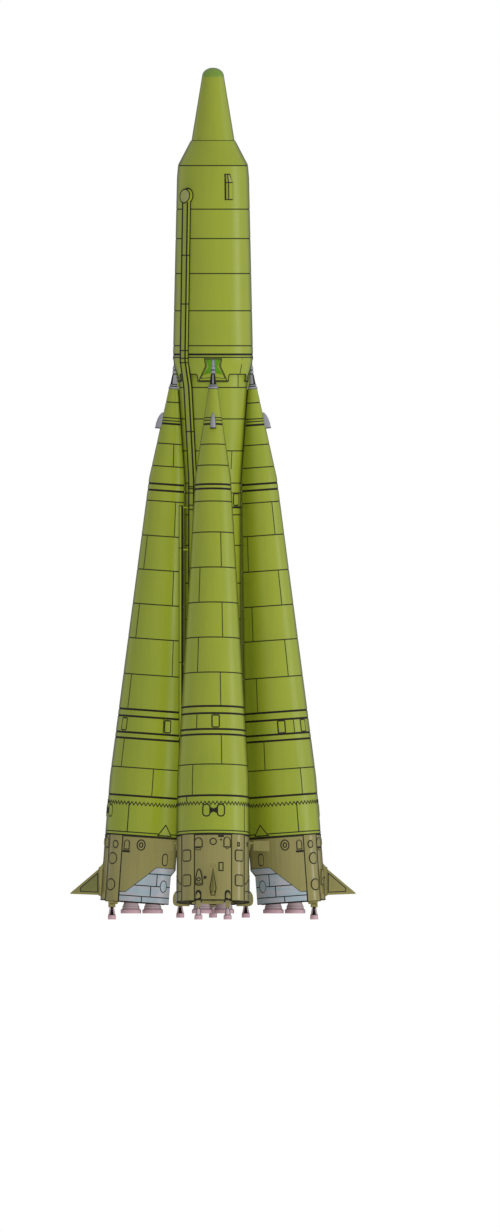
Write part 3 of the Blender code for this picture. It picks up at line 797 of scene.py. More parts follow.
# %% The rolled edge, tab by tab and notch by notch
HEM_WIDTH, HEM_CORNER = 0.036, 0.07
TAB_LOW = 19.50
HALFWAY = (TAB_LOW + NOTCH) / 2


def hem(half_angle, low, high, keep_upper, angle):
    """Half of a rounded ribbon on the skirt: its upper or its lower half."""
    across = 2 * half_angle * skirt_wall(HALFWAY)
    bm = ribbon(rectangle(across, high - low, HEM_CORNER, 5), HEM_WIDTH, 0.008)
    slice_by(bm, (0, 0, 0), (0, -1 if keep_upper else 1, 0), drop=True)
    add(frames, painted(bent(bm, skirt_wall, angle, (low + high) / 2), 2))


reach = HALFWAY - TAB_LOW
for angle in BOOSTERS.values():
    hem(TAB_HALF, TAB_LOW, HALFWAY + reach, False, angle)
    hem(math.pi / 4 - TAB_HALF + HEM_WIDTH / 1.3, HALFWAY - reach, NOTCH + HEM_WIDTH / 2, True,
        angle + 45)
core_piece("core_waist_marks", frames, TANK_FINISH)

# %% [markdown]
# ## The cable duct
# Cables to the upper tank run in a box duct down the outside, which starts in a bent cap
# near the top. The duct is a strip laid flat, cut where the wall bends, and bent onto it.

# %% The duct and its cap
DUCT_ANGLE, DUCT_WIDTH, DUCT_PROUD = -135, 0.30, 0.11
WHOLE = [(3.3, 1.0145), (15.95, 1.0145), (19.31, 1.267), (20.26, 1.45), (20.60, 1.45), (26.92, 1.31)]
whole_wall = wall_of(WHOLE)


def duct_run(low, high, width, proud, rim=0.0):
    """A box strip from low to high, cut where the wall bends."""
    strip = raised(rectangle(width, high - low), proud, rim)
    middle = (low + high) / 2
    for bend, _ in WHOLE:
        if low < bend < high:
            slice_by(strip, (0, bend - middle, 0), (0, 1, 0))
    return bent(strip, whole_wall, DUCT_ANGLE, middle)


duct = duct_run(3.3, 26.3, DUCT_WIDTH, DUCT_PROUD, 0.072)
for level in (24.11, 22.34, 20.65, 20.37, 20.21, 17.71, 15.71, 15.64, 15.48, 15.04, 14.88):
    add(duct, painted(duct_run(level - 0.02, level + 0.02, DUCT_WIDTH + 0.01, DUCT_PROUD + 0.006), 1))
add(duct, painted(duct_run(3.32, 26.2, DUCT_WIDTH + 0.08, 0.012), 1))

# %% [markdown]
# At the top the cables turn into the tank under a rounded box. Its outline is a disc, given
# depth, with a pale face, a dark line round the face and a thin dark plate under its foot.

# %% The duct's cap
CAP_HEIGHT = 26.26
CAP_LEAN = -0.4
duct_cap = raised(painted(disc(0.245, 1.12, 28), 2), 0.145, 0.045)
duct_cap.normal_update()
paint_faces([face for face in duct_cap.faces if face.normal.z < 0.5], 0)
add(duct, bent(duct_cap, whole_wall, DUCT_ANGLE, CAP_HEIGHT, lean=CAP_LEAN))
cap_edge = raised(disc(0.285, 1.1, 28), 0.008)
add(duct, painted(bent(cap_edge, whole_wall, DUCT_ANGLE, CAP_HEIGHT, lean=CAP_LEAN), 1))
core_piece("core_cable_duct_skin", duct, [GREEN, DARK, PALE])

# %% [markdown]
# ## The side fairing
# A small box near the shoulder. Its top and left edges are pushed down to the wall, its upper
# right corner is drawn in, and every edge that stays in view is cut off and painted dark.

# %% The small side fairing near the shoulder
fairing = raised(rectangle(0.26, 0.92), 0.11)
slice_by(fairing, (0, 0.16, 0), (0, 1, 0))
slice_by(fairing, (-0.045, 0, 0), (1, 0, 0))
top_edge = [vert for vert in fairing.verts if vert.co.z > 0 and vert.co.y > 0.4]
bmesh.ops.translate(fairing, verts=top_edge, vec=(0, 0, -0.095))
left_edge = [vert for vert in fairing.verts if vert.co.z > 0.05 and vert.co.x < -0.1]
bmesh.ops.translate(fairing, verts=left_edge, vec=(0, 0, -0.085))
narrow = [vert for vert in fairing.verts if vert.co.x > 0.1 and vert.co.y > 0.4]
bmesh.ops.translate(fairing, verts=narrow, vec=(-0.09, 0, 0))
for face in fairing.faces:
    middle = face.calc_center_median()
    face.material_index = 2 if middle.x > -0.05 and face.normal.z > 0.1 and middle.y > 0.2 else 0
dark_edges(fairing, [edge for edge in fairing.edges if all(vert.co.z > 0 for vert in edge.verts)])
FOOT_PLATE = [(-0.16, -0.48), (0.155, -0.48), (0.155, 0.17), (0.065, 0.48), (-0.16, 0.48)]
add(fairing, painted(raised(flat(FOOT_PLATE), 0.008), 1))
core_piece("core_side_fairing_skin", bent(fairing, upper_wall, -64.6, 26.59), [GREEN, DARK, PALE])

# %% [markdown]
# ## The boosters' skins
# A booster is a slim cone that ends almost as a cylinder. Its ring welds are square to its
# own leaning axis, which is why they look slightly curved from the side.

# %% Nose cone and tank of a booster
KINK, KINK_RADIUS, FULL, FULL_RADIUS = 16.0, 0.652, 5.1, 1.30


def cone_radius(height):
    """Radius of the long cone, from its full width up to the kink in the nose."""
    return KINK_RADIUS + (FULL_RADIUS - KINK_RADIUS) * (KINK - height) / (KINK - FULL)


JOINT = 15.72
NOSE = [(along(JOINT - 0.01), cone_radius(JOINT)), (along(KINK), KINK_RADIUS), (along(19.25), 0.17)]
TANK = [(along(3.01), 1.323), (along(FULL), FULL_RADIUS), (along(JOINT), cone_radius(JOINT))]
nose_wall, tank_wall = wall_of(NOSE), wall_of(TANK)

# %% [markdown]
# The rings of the tank and nose are listed from the bottom up. Each booster has its own
# list, because the left, right and front ones differ by a few centimetres in the picture.
# The second level carries the zigzag, and the seams refer to bays by number.

# %% Rings, numbered from the bottom
RINGS = {
    "front": [3.155, 4.21, 4.43, 5.57, 6.66, 6.85, 7.43, 7.69, 8.93, 10.21, 11.49, 12.77, 14.05,
              15.18, 15.64, 15.80, 16.50, 17.27, 18.01, 18.15, 18.245],
    "left": [3.155, 4.26, 4.475, 5.495, 6.555, 6.765, 7.355, 7.605, 8.885, 10.195, 11.45, 12.705,
             13.945, 15.215, 15.60, 15.835, 16.485, 17.31, 18.035, 18.145, 18.25, 18.82],
    "right": [3.155, 4.265, 4.50, 5.465, 6.515, 6.735, 7.265, 7.55, 8.81, 10.155, 11.41, 12.685,
              13.975, 15.175, 15.63, 15.85, 16.45, 17.27, 17.995, 18.12, 18.215, 18.80]}
RINGS["rear"] = RINGS["front"]
ZIGZAG, FIRST_NOSE_RING, HEM_RING = 1, 15, 3.03
STRONG = (2, 4, 5, 6, 7, 14, 15, 18)


def grooves(numbers, rings):
    """The rings with these numbers, in two lists: light ones and strong ones."""
    return ([rings[number] for number in numbers if number not in STRONG],
            [rings[number] for number in numbers if number in STRONG])


for sides in (("front", "rear"), ("left",), ("right",)):
    rings = RINGS[sides[0]]
    light, strong = grooves([0, *range(ZIGZAG + 1, FIRST_NOSE_RING)], rings)
    booster_tank = grooved(TANK, light, [HEM_RING, *strong])
    on_boosters("tank_skin", booster_tank, TANK_FINISH, "green_paint", replaces="tank", sides=sides)
    booster_nose = grooved(NOSE, *grooves(range(FIRST_NOSE_RING, len(rings)), rings))
    on_boosters("nose_skin", booster_nose, TANK_FINISH, "green_paint", replaces="nose_cone", sides=sides)
print("a booster leans", round(math.degrees(TILT), 2), "degrees")

# %% [markdown]
# ## Painted shade strips and the left-hand duct
# A leaning booster comes close to the core along one line only. A tapered strip on the core
# closes the wedge that is left, so that no light shines through, and is painted as the shade
# there: dark beside the slim noses, olive further down, with a green pad behind each nose pin.
# On the left a slim duct runs down beside the core on arms, with a dark bar of painted shade
# beside it.

# %% Strips from the core's wall to each booster's edge
STRIP_WIDE, BITE = 0.10, 0.012


def booster_edge(level):
    """How far a booster's inner edge is from the core's axis."""
    wall = nose_wall if level > KINK else tank_wall
    return FOOT - level * math.tan(TILT) - wall(along(level)) / math.cos(TILT)


def strip_outline(levels):
    """The wedge between core and booster, from the side, anticlockwise."""
    near = [(lower_wall(level) - BITE, level) for level in reversed(levels)]
    return [(booster_edge(level) + BITE, level) for level in levels] + near


PIN_PAD = [(1.24, 19.25), (1.262, 19.25), (1.31, 19.43), (1.322, 19.78), (1.24, 19.78)]
# The strips are painted shade: olive low down, dark beside the slim noses.
strips = bmesh.new()
for side in BOOSTERS:
    stand = upright(side) @ at(0, STRIP_WIDE / 2, 0) @ turn(90, "X")
    for outline, index in ((strip_outline([3.1, FULL, 15.0, 15.95]), 0),
                           (strip_outline([15.95, 19.24]), 1), (PIN_PAD, 2)):
        add(strips, painted(thick(flat(outline), STRIP_WIDE), index), stand)
core_piece("core_painted_shade_strips", strips, [PAINTED_SHADE_OLIVE, DARK, GREEN])

# %% A slim duct on arms
SLIM_AT = (-1.186, -0.64)
SLIM_ANGLE = math.degrees(math.atan2(SLIM_AT[1], SLIM_AT[0]))
SLIM_WIDE, SLIM_LOW, SLIM_HIGH = 0.106, 3.4, 15.03
slim = thick(rectangle(SLIM_WIDE, SLIM_WIDE), SLIM_HIGH - SLIM_LOW)
dark_edges(slim, [edge for edge in slim.edges if edge.calc_length() > 1])
for level in (SLIM_HIGH, 13.5, 9.35, 6.54):
    band = painted(thick(rectangle(SLIM_WIDE + 0.012, SLIM_WIDE + 0.012), 0.03), 1)
    add(slim, band, at(0, 0, level - SLIM_LOW - 0.03))
    arm = thick(rectangle(0.30, 0.04), 0.05)
    add(slim, arm, at(0, 0, level - SLIM_LOW - 0.10) @ turn(SLIM_ANGLE) @ at(-0.17, 0, 0))
# Painted shade: a dark bar beside the slim duct stands for the shade between the duct and the front
# booster.
cable = painted(thick(rectangle(0.05, 0.05), SLIM_HIGH - SLIM_LOW), 1)
add(slim, cable, at(0.078, 0.02, 0))
bmesh.ops.translate(slim, verts=slim.verts, vec=(*SLIM_AT, SLIM_LOW))
core_piece("core_slim_duct", slim, [GREEN, DARK])

# %% [markdown]
# ## Seams, hatches and the zigzag ring
# Each bay between two rings has a vertical seam, staggered from bay to bay like bricks. The
# zigzag ring is the stitched joint of the tank's thermal wrap: a flat ribbon whose every
# other row of points is pulled down, closed round the tank.

# %% Marks on the tanks
SEAMS = {
    "front": [(11, 21.1), (10, -33.7), (9, 20.6), (8, -31.7), (7, 14.2), (5, -29.9), (3, 14.4),
              (2, -34.9), (1, -46.9), (0, 59.7)],
    "left": [(12, 122.1), (11, 43.8), (10, 124.2), (9, 43.7), (8, 130.2), (7, 44.1), (5, 115.5),
             (3, 44.2), (2, 101.8), (0, 66.2)],
    "right": [(12, -55.2), (11, -136.7), (10, -57.3), (9, -129.2), (8, -59.3), (7, -124.4),
              (5, -58.1), (3, -114.4), (2, -54.5), (0, -66.5)]}
SEAMS["rear"] = SEAMS["front"]
LOW_BAYS = 2
COVER_LEVEL, COVER_TURN = 3.89, 14.0
NOSE_SEAMS = {"front": [180], "left": [109.6, -70.4], "right": [100, 20], "rear": [180]}
HATCHES = {"front": [4.6, 130, -130], "left": [124, 40, -75], "right": [-81.6, -36.5, 110],
           "rear": [4.6, 130, -130]}


def zigzag(height, teeth=56, drop=0.115, width=0.058):
    """A ribbon round the tank whose every other column is lower."""
    bm = bmesh.new()
    around = 2 * math.pi * tank_wall(height)
    bmesh.ops.create_grid(bm, x_segments=2 * teeth, y_segments=1, size=0.5)
    bmesh.ops.scale(bm, vec=(around, width, 1), verts=bm.verts)
    for vert in bm.verts:
        column = round((vert.co.x / around + 0.5) * 2 * teeth)
        vert.co.y -= drop * (column % 2)
    raised(bm, 0.008)
    for vert in bm.verts:
        level, turned = height + vert.co.y, vert.co.x / tank_wall(height)
        radius = tank_wall(level) + vert.co.z
        vert.co = (radius * math.cos(turned), radius * math.sin(turned), level)
    return painted(bm, 2)


BOW = [(-0.15, -0.13), (0, -0.05), (0.15, -0.13), (0.15, 0.13), (0, 0.05), (-0.15, 0.13)]
for side in BOOSTERS:
    marks = bmesh.new()
    rings = RINGS[side]
    opposite = [(bay, angle + 180) for bay, angle in SEAMS[side]]
    for bay, angle in SEAMS[side] + opposite:
        seam(marks, tank_wall, angle, rings[bay], rings[bay + 1], index=2 if bay < LOW_BAYS else 1)
    for angle in NOSE_SEAMS[side]:
        seam(marks, nose_wall, angle, rings[16], rings[17])
    for angle in HATCHES[side]:
        hatch = raised(rectangle(0.31, 0.485, 0.06), 0.010, 0.046, 0.008, dark=2)
        add(marks, bent(hatch, tank_wall, angle, (rings[5] + rings[6]) / 2))
    turned = 0.0 if side in ("front", "rear") else COVER_TURN
    for angle in (-10.5, 12.5):
        cover = raised(rectangle(0.31, 0.475, 0.14, 6), 0.014, 0.046, 0.008, dark=2)
        add(marks, bent(cover, tank_wall, angle + turned, COVER_LEVEL))
    add(marks, painted(bent(raised(flat(BOW), 0.03), tank_wall, 1.0 + turned, COVER_LEVEL), 2))
    for way in (-1, 1):
        gusset = raised(flat([(-0.36, -0.22), (0.36, -0.22), (0, 0.22)]), 0.008, 0.042, dark=2)
        add(marks, bent(gusset, tank_wall, way * 130, 3.30))
    add(marks, zigzag(rings[ZIGZAG]))
    on_boosters("tank_marks", marks, TANK_FINISH, "green_paint", sides=(side,))

# %% [markdown]
# ## Nose pin and vent horn
# Each booster pushes the core through a pin on its tip, and a grey horn on the outer face of
# its nose covers a vent. Both are spun; the horn is then stretched away from the core.

# %% Pins and horns
PIN = [(0, 20.335, 0), (0.05, 20.335, 0), (0.058, 20.32, 0), (0.058, 20.07, 0), (0.078, 20.06, 1),
       (0.078, 19.96, 0), (0.064, 19.95, 1), (0.064, 19.93, 1), (0.078, 19.92, 1), (0.078, 19.82, 0),
       (0.064, 19.81, 1), (0.064, 19.79, 1), (0.08, 19.78, 1), (0.125, 19.44, 0), (0.125, 19.415, 1),
       (0.155, 19.405, 1), (0.155, 19.37, 0), (0.14, 19.36, 1), (0.14, 19.34, 1), (0.18, 19.335, 1),
       (0.18, 19.27, 0), (0.17, 19.25, 1), (0, 19.25, 0)]
pin = spun_in_colours([(radius, along(height), index) for radius, height, index in PIN], 32)
# The sides of the pin's cone are painted dark as painted shade, which leaves a light stripe down its
# middle as a painted highlight.
PIN_SHADE_LOW, PIN_SHADE_HIGH, PIN_SHADE_FROM, PIN_SHADE_TO = along(19.46), along(19.78), 16, 72
for face in pin.faces:
    middle = face.calc_center_median()
    across = abs(math.degrees(angle_of(middle)))
    if PIN_SHADE_LOW < middle.z < PIN_SHADE_HIGH and PIN_SHADE_FROM < across < PIN_SHADE_TO:
        face.material_index = 1
on_boosters("pin_skin", pin, [FITTING, DARK], "grey_fitting", replaces="nose_pin")
HORN = [(0, 18.39, 0), (0.02, 18.375, 0), (0.055, 18.28, 0), (0.085, 18.15, 0), (0.105, 18.0, 0),
        (0.115, 17.86, 0), (0.118, 17.825, 0), (0.12, 17.79, 1), (0, 17.79, 1)]
HORN_FOOT = HORN[-1][1]
horn = spun_in_colours(HORN, 32)
bmesh.ops.scale(horn, vec=(2.05, 1.0, 1.0), verts=horn.verts)
bmesh.ops.translate(horn, verts=horn.verts, vec=(0.325, 0, along(HORN_FOOT) - HORN_FOOT))
on_boosters("horn_skin", horn, [FITTING, DARK], "grey_fitting", replaces="vent_horn")

# %% [markdown]
# ## The boosters' tail sections
# The khaki tail carries the engine. Two half-round ribs run down its outer quarters, hatches
# sit on the ribs and between them, and the inner side is covered with bare steel panels that
# stand the heat of the core's engine. The CAD tail stays in view; these parts lie on it.

# %% The tail's wall, with its ribs
TAIL_RADIUS, RIB_CENTRE, RIB_RADIUS = 1.323, 0.848, 0.532
RIB_REACH = math.radians(15)
WALL_PROUD, RIB_PROUD = 0.004, 0.006
TAIL_LOW, TAIL_HIGH = along(0.62), along(3.01)


def tail_wall(level, turned=0.0):
    """Radius of the tail, which swells over the two ribs."""
    for rib in (-math.pi / 4, math.pi / 4):
        away = math.remainder(turned - rib, 2 * math.pi)
        if abs(away) < RIB_REACH:
            across = RIB_CENTRE * math.sin(away)
            swell = RIB_CENTRE * math.cos(away) + math.sqrt(RIB_RADIUS ** 2 - across ** 2)
            return max(TAIL_RADIUS + WALL_PROUD, swell + RIB_PROUD)
    return TAIL_RADIUS


# %% [markdown]
# A lid is a flat shape with a dark rim, bent onto the tail. The side boosters are seen from
# their flank in the main view and the front one head on, so the two kinds differ a little:
# round-ended rib hatches and arched covers there, squarer hatches and seam lines here.

# %% Hatches and covers on the tails
def lid(parts, shape, angle, level, rim=0.040, proud=0.012, middle=0.008):
    add(parts, bent(raised(shape, proud, rim, middle), tail_wall, angle, level))


def mark(parts, shape, angle, level, proud=0.008, lean=0.0):
    """A dark plate without a rim, such as a seam, a plug or a slot."""
    add(parts, bent(painted(raised(shape, proud), 1), tail_wall, angle, level, lean=lean))


BULLET = [(-0.145, -0.30), (0.145, -0.30), (0.135, -0.02), (0.09, 0.18), (0.03, 0.29),
          (-0.03, 0.29), (-0.09, 0.18), (-0.135, -0.02)]
HOOD_ANGLE = 23.6


def shared_covers(hatch_corner, hatch_levels):
    """What both kinds of tail carry: rib skins, rib hatches, rings and the outer covers."""
    parts = bmesh.new()
    for way in (-1, 1):
        cover = raised(rectangle(2 * RIB_REACH * TAIL_RADIUS, TAIL_HIGH - TAIL_LOW - 0.05), 0.0)
        add(parts, painted(bent(cover, tail_wall, way * 45, (TAIL_LOW + TAIL_HIGH) / 2, strip=0.03), 2))
        for edge in (30.5, 59.5):
            seam(parts, tail_wall, way * edge, TAIL_LOW, TAIL_HIGH - 0.03, 0.036, 0.010)
        for level in hatch_levels:
            lid(parts, rectangle(0.41, 0.44, hatch_corner, 6), way * 44.2, level)
        lid(parts, disc(0.165, 1.25), way * 90.4, 2.71, rim=0.04)
        lid(parts, disc(0.08, 1.3), way * 90.4, 2.71, proud=0.026)
        lid(parts, rectangle(0.28, 0.46, 0.13, 6), way * 133.3, 2.23, rim=0.038)
        mark(parts, rectangle(0.11, 0.03), way * 27, 0.66)
    add(parts, painted(hoop(1.30, 1.331, TAIL_HIGH - 0.03, TAIL_HIGH - 0.002), 1))
    lid(parts, arch(0.34, 0.37), -23.7, 2.72)
    lid(parts, rectangle(0.20, 0.09), -23.7, 2.485, rim=0.024, proud=0.03)
    lid(parts, disc(0.135), 0.2, 2.747)
    lid(parts, arch(0.29, 0.40), 22.7, 2.733)
    lid(parts, disc(0.065, sides=4), 22.7, 2.525, rim=0.024, proud=0.03)
    mark(parts, rectangle(0.21, 0.07), 12.7, 2.945, 0.012)
    mark(parts, disc(0.035, sides=10), 12.7, 2.815, 0.012)
    lid(parts, rectangle(0.19, 0.33), 12.6, 1.835)
    lid(parts, flat(BULLET), -22.0, 1.47, proud=0.05, middle=0.02)
    lid(parts, disc(0.08), -22.0, 1.37, proud=0.075)
    lid(parts, rectangle(0.14, 0.11), -22.0, 1.20, proud=0.07, rim=0.034)
    mark(parts, rectangle(0.08, 0.09), -12.5, 1.44, 0.05)
    return parts


flank_tail = shared_covers(0.195, (2.165, 1.21))
face_tail = shared_covers(0.10, (2.255, 1.35))
for way in (-1, 1):
    mark(face_tail, arch(0.222, 0.345), way * HOOD_ANGLE, 0.815, 0.016)
    lid(flank_tail, disc(0.125, 1.2), way * 48.5, 2.68)
    lid(flank_tail, arch(0.23, 0.36), way * 67.4, 2.69, rim=0.036)
    lid(flank_tail, rectangle(0.29, 0.075, 0.03), way * 67.4, 2.45, proud=0.03)
    mark(flank_tail, rectangle(0.35, 0.03), way * 68, 0.977)
    mark(face_tail, rectangle(0.69, 0.03), way * 75, 0.977, 0.010)
    mark(face_tail, rectangle(0.78, 0.03), way * 75, 1.40, 0.010, way * 0.49)
    mark(flank_tail, rectangle(0.42, 0.03), way * 20, 2.53)
lid(face_tail, rectangle(0.11, 0.17), 41.9, 2.66)
mark(face_tail, rectangle(0.09, 0.17), 69, 2.70, 0.012)
for covers, sides in ((flank_tail, ("left", "right")), (face_tail, ("front", "rear"))):
    on_boosters("tail_covers", covers, [KHAKI, DARK, SATIN], "khaki_paint", sides=sides)

# %% [markdown]
# ## Steel heat panels
# The panels are one flat outline in angle and height, sliced into rows with planes, so that
# every sheet keeps its own dark joint. Each sheet is then raised and bent onto the wall.

# %% Panel rows on both inner quarters
ZONE = [(180, 1.938), (117.5, 1.936), (70.9, 0.995), (60.2, 0.98), (60.2, 0.63), (151, 0.63),
        (151, 1.70)]
ROWS = [0.63, 0.85, 1.246, 1.69, 1.94]
JOINTS = {0: 96.8, 1: 110.5, 2: 120.3}


def clipped(corners, level, keep_above):
    """The part of an outline above or below a level."""
    kept = []
    for (x1, y1), (x2, y2) in zip(corners, corners[1:] + corners[:1]):
        if (y1 > level) == keep_above or y1 == level:
            kept.append((x1, y1))
        if (y1 - level) * (y2 - level) < 0:
            kept.append((x1 + (level - y1) * (x2 - x1) / (y2 - y1), level))
    return kept


def sheets(zone):
    """Each sheet's outline in (angle, height)."""
    for row, (low, high) in enumerate(zip(ROWS, ROWS[1:])):
        band = clipped(clipped(zone, low, True), high, False)
        split = JOINTS.get(row)
        if split is None:
            yield band
            continue
        for side in (True, False):
            turned = clipped([(y, x) for x, y in band], split, side)
            yield [(x, y) for y, x in turned]


CHORD, CHORD_HIGH = -1.158, along(1.64)


def heat_panels(first_angle):
    """Both inner quarters of a tail, from an angle on; the flat inner side is a chord."""
    zone = [(x, y) for y, x in clipped([(y, x) for x, y in ZONE], first_angle, True)]
    panels = bmesh.new()
    for way in (-1, 1):
        for outline in sheets(zone):
            middle_angle = sum(x for x, _ in outline) / len(outline)
            middle_level = sum(y for _, y in outline) / len(outline)
            corners = [(way * math.radians(x - middle_angle) * TAIL_RADIUS, y - middle_level)
                       for x, y in outline][::way]
            sheet = raised(flat(corners), 0.010, 0.018, 0.004)
            add(panels, bent(sheet, tail_wall, way * middle_angle, middle_level))
        oval = raised(disc(0.17, 1.35), 0.02, 0.032, 0.006)
        add(panels, bent(oval, tail_wall, way * 133.7, 1.26))
    for vert in panels.verts:
        if vert.co.x < CHORD and vert.co.z < CHORD_HIGH:
            vert.co.x = CHORD - 0.004
    return panels


for first_angle, sides in ((60.2, ("left", "right")), (92, ("front", "rear"))):
    on_boosters("tail_panels", heat_panels(first_angle), [STEEL, DARK], "steel_panel", sides=sides)

# %% [markdown]
# ## The tail seen from below
# Under the tail, a pressed-steel ring closes the wall, with radial joints, and a double lip
# frames the engine's opening. Small blocks stand for its fittings. The core's base is alike.

# %% Lip, radial joints and bosses under a booster
def rounded_ring(half, corner, width, deep):
    """A rounded square frame: a flat band, given depth downwards and the dark finish."""
    return painted(thick(hollow(rectangle(2 * half, 2 * half, corner, 6), width), -deep), 1)


def boss(target, shape, larger, x, y, drop):
    """A small block under the tail, with a dark outline round its foot."""
    add(target, painted(thick(larger, -0.4 * drop), 1), at(x, y, TAIL_LOW))
    add(target, thick(shape, -drop), at(x, y, TAIL_LOW))


BASE_CENTRE = -0.165
SPOKES = [(64, 0.88, 1.31), (90, 0.84, 1.31), (116, 0.90, 1.31), (38.5, 1.05, 1.31),
          (141.5, 1.08, 1.31)]
MIDDLE_SPOKES = [(0, 0.69, 0.90), (0, 1.16, 1.31), (180, 1.02, 1.15)]
base = bmesh.new()
for half in (0.845, 0.80):
    add(base, rounded_ring(half, 0.28, 0.024, 0.03), at(BASE_CENTRE, 0, TAIL_LOW))
mirrored = [(-angle, start, end) for angle, start, end in SPOKES]
for angle, start, end in SPOKES + mirrored + MIDDLE_SPOKES:
    spoke = painted(thick(rectangle(end - start, 0.03), -0.008), 1)
    add(base, spoke, turn(angle) @ at((start + end) / 2, 0, TAIL_LOW))
for way in (-1, 1):
    boss(base, disc(0.09), disc(0.112), 0.744, way * 0.60, 0.05)
    boss(base, disc(0.05), disc(0.07), 0.76, way * 0.32, 0.04)
    boss(base, rectangle(0.24, 0.33), rectangle(0.28, 0.37), 1.02, way * 0.21, 0.02)
    for slot in (0.755, 0.915):
        add(base, painted(thick(rectangle(0.17, 0.05, 0.02), -0.012), 1),
            at(0.74, way * slot, TAIL_LOW))
boss(base, rectangle(0.44, 0.07), rectangle(0.48, 0.11), 0.93, 0, 0.045)
rim = hoop(1.27, 1.327, TAIL_LOW + 0.02, TAIL_LOW - 0.012)
arc = hoop(1.225, 1.25, TAIL_LOW + 0.01, TAIL_LOW - 0.01)
for ring, cuts in ((rim, [(-1.155, -1)]), (arc, [(-1.155, -1), (-0.30, 1)])):
    for edge, away in cuts:
        slice_by(ring, (edge, 0, 0), (away, 0, 0), drop=True)
    add(base, painted(ring, 1))
on_boosters("tail_base", base, [KHAKI, DARK], "khaki_paint")

# %% Ring line and bosses under the core
CORE_LOW = 0.62
core_base = bmesh.new()
add(core_base, painted(hoop(0.955, 0.98, CORE_LOW + 0.01, CORE_LOW - 0.01), 1))
add(core_base, rounded_ring(0.735, 0.31, 0.024, 0.02), at(0, 0, CORE_LOW))
for quarter in range(4):
    place = turn(90 * quarter) @ at(0.845, 0, CORE_LOW)
    add(core_base, painted(thick(disc(0.09), -0.012), 1), place)
    add(core_base, thick(disc(0.07), -0.04), place)
core_piece("core_tail_base", core_base, [KHAKI, DARK], "khaki_paint")

# %% [markdown]
# ## Main engines
# Each engine has four bells under one plate. A bell is spun as one closed line: the outer
# wall with its stiffening bands, the rolled rim, and the red-lined inside up to the throat.
# A turbine's exhaust pipe stands between the core's bells.

# %% One bell, then four under a plate
ENGINE_AT, BELL_OFFSET, PLATE_FOOT = 2.585, 0.395, 1.149
METAL, PINK, RED, BLACK, PLATE = range(5)
BELL = [(0, 1.10, METAL), (0.15, 1.10, METAL), (0.16, 1.08, METAL), (0.16, 0.985, METAL),
        (0.13, 0.95, METAL), (0.10, 0.89, METAL), (0.12, 0.84, METAL), (0.19, 0.73, METAL),
        (0.235, 0.65, METAL),
        (0.25, 0.65, BLACK), (0.255, 0.63, METAL), (0.247, 0.615, BLACK), (0.27, 0.56, METAL),
        (0.298, 0.48, METAL), (0.31, 0.48, BLACK), (0.313, 0.465, METAL), (0.302, 0.455, BLACK),
        (0.318, 0.395, METAL), (0.318, 0.38, BLACK), (0.34, 0.372, PINK), (0.362, 0.36, PINK),
        (0.3725, 0.335, PINK), (0.3725, 0.25, PINK), (0.368, 0.225, PINK), (0.355, 0.22, PINK),
        (0.335, 0.22, PINK), (0.328, 0.25, RED), (0.29, 0.42, RED), (0.22, 0.60, RED), (0.14, 0.76, RED),
        (0.10, 0.82, RED), (0.09, 0.85, BLACK), (0, 0.86, BLACK)]
bells = bmesh.new()
for x in (-BELL_OFFSET, BELL_OFFSET):
    for y in (-BELL_OFFSET, BELL_OFFSET):
        add(bells, spun_in_colours(BELL, 40), at(x, y, 0))
plate = painted(thick(rectangle(1.26, 1.26, 0.15, 5), -0.10), PLATE)
add(bells, plate, at(0, 0, PLATE_FOOT))
ENGINE_FINISH = [NOZZLE, RIM, LINING, THROAT, KHAKI]
on_boosters("bells", bells.copy(), ENGINE_FINISH, "nozzle_metal",
            lambda side: upright(side) @ at(ENGINE_AT, 0, 0), "engine")
core_piece("core_bells", bells, ENGINE_FINISH, "nozzle_metal", ["core_engine"])
EXHAUST = [(0, 1.06, 0), (0.13, 1.06, 0), (0.13, 0.50, 0), (0.11, 0.42, 0), (0.11, 0.36, 0),
           (0.10, 0.35, 1), (0, 0.35, 1)]
core_piece("core_turbine_exhaust", spun_in_colours(EXHAUST, 32), [NOZZLE, KHAKI], "nozzle_metal")

# %% [markdown]
# ## Steering nozzles
# Twelve small nozzles steer the rocket. Each swings on a level pin, so each is its own body.
# The nozzle is spun, with black slits in its neck, and two slender struts carry its rim.

# %% A steering nozzle about its pin
EXIT = -0.515
STEERING = [(0, 0.03, PLATE), (0.05, 0.02, PLATE), (0.058, -0.05, PLATE), (0.05, -0.09, BLACK),
            (0.05, -0.13, BLACK), (0.068, -0.14, METAL), (0.078, -0.20, METAL), (0.092, -0.27, METAL),
            (0.110, -0.335, METAL), (0.110, -0.353, BLACK), (0.136, -0.36, PINK), (0.145, -0.37, PINK),
            (0.145, -0.505, PINK), (0.14, EXIT, PINK), (0.125, EXIT, PINK), (0.112, -0.42, RED),
            (0.05, -0.385, RED), (0.028, -0.26, RED), (0, -0.255, BLACK)]
steering = spun_in_colours(STEERING, 28)
NECK_LOW, NECK_HIGH, SLIT_SHARE, SLIT_INSIDE = -0.335, -0.14, 0.55, 0.035
for face in steering.faces:
    middle = face.calc_center_median()
    beside = SLIT_SHARE * math.hypot(middle.x, middle.y)
    if NECK_LOW < middle.z < NECK_HIGH and abs(middle.x) < beside > SLIT_INSIDE:
        face.material_index = BLACK
pin_bm = spun([(0, 0.10), (0.065, 0.10), (0.075, 0.09), (0.075, -0.09), (0.065, -0.10), (0, -0.10)], 24)
add(steering, painted(pin_bm, PLATE), turn(90, "Y"))


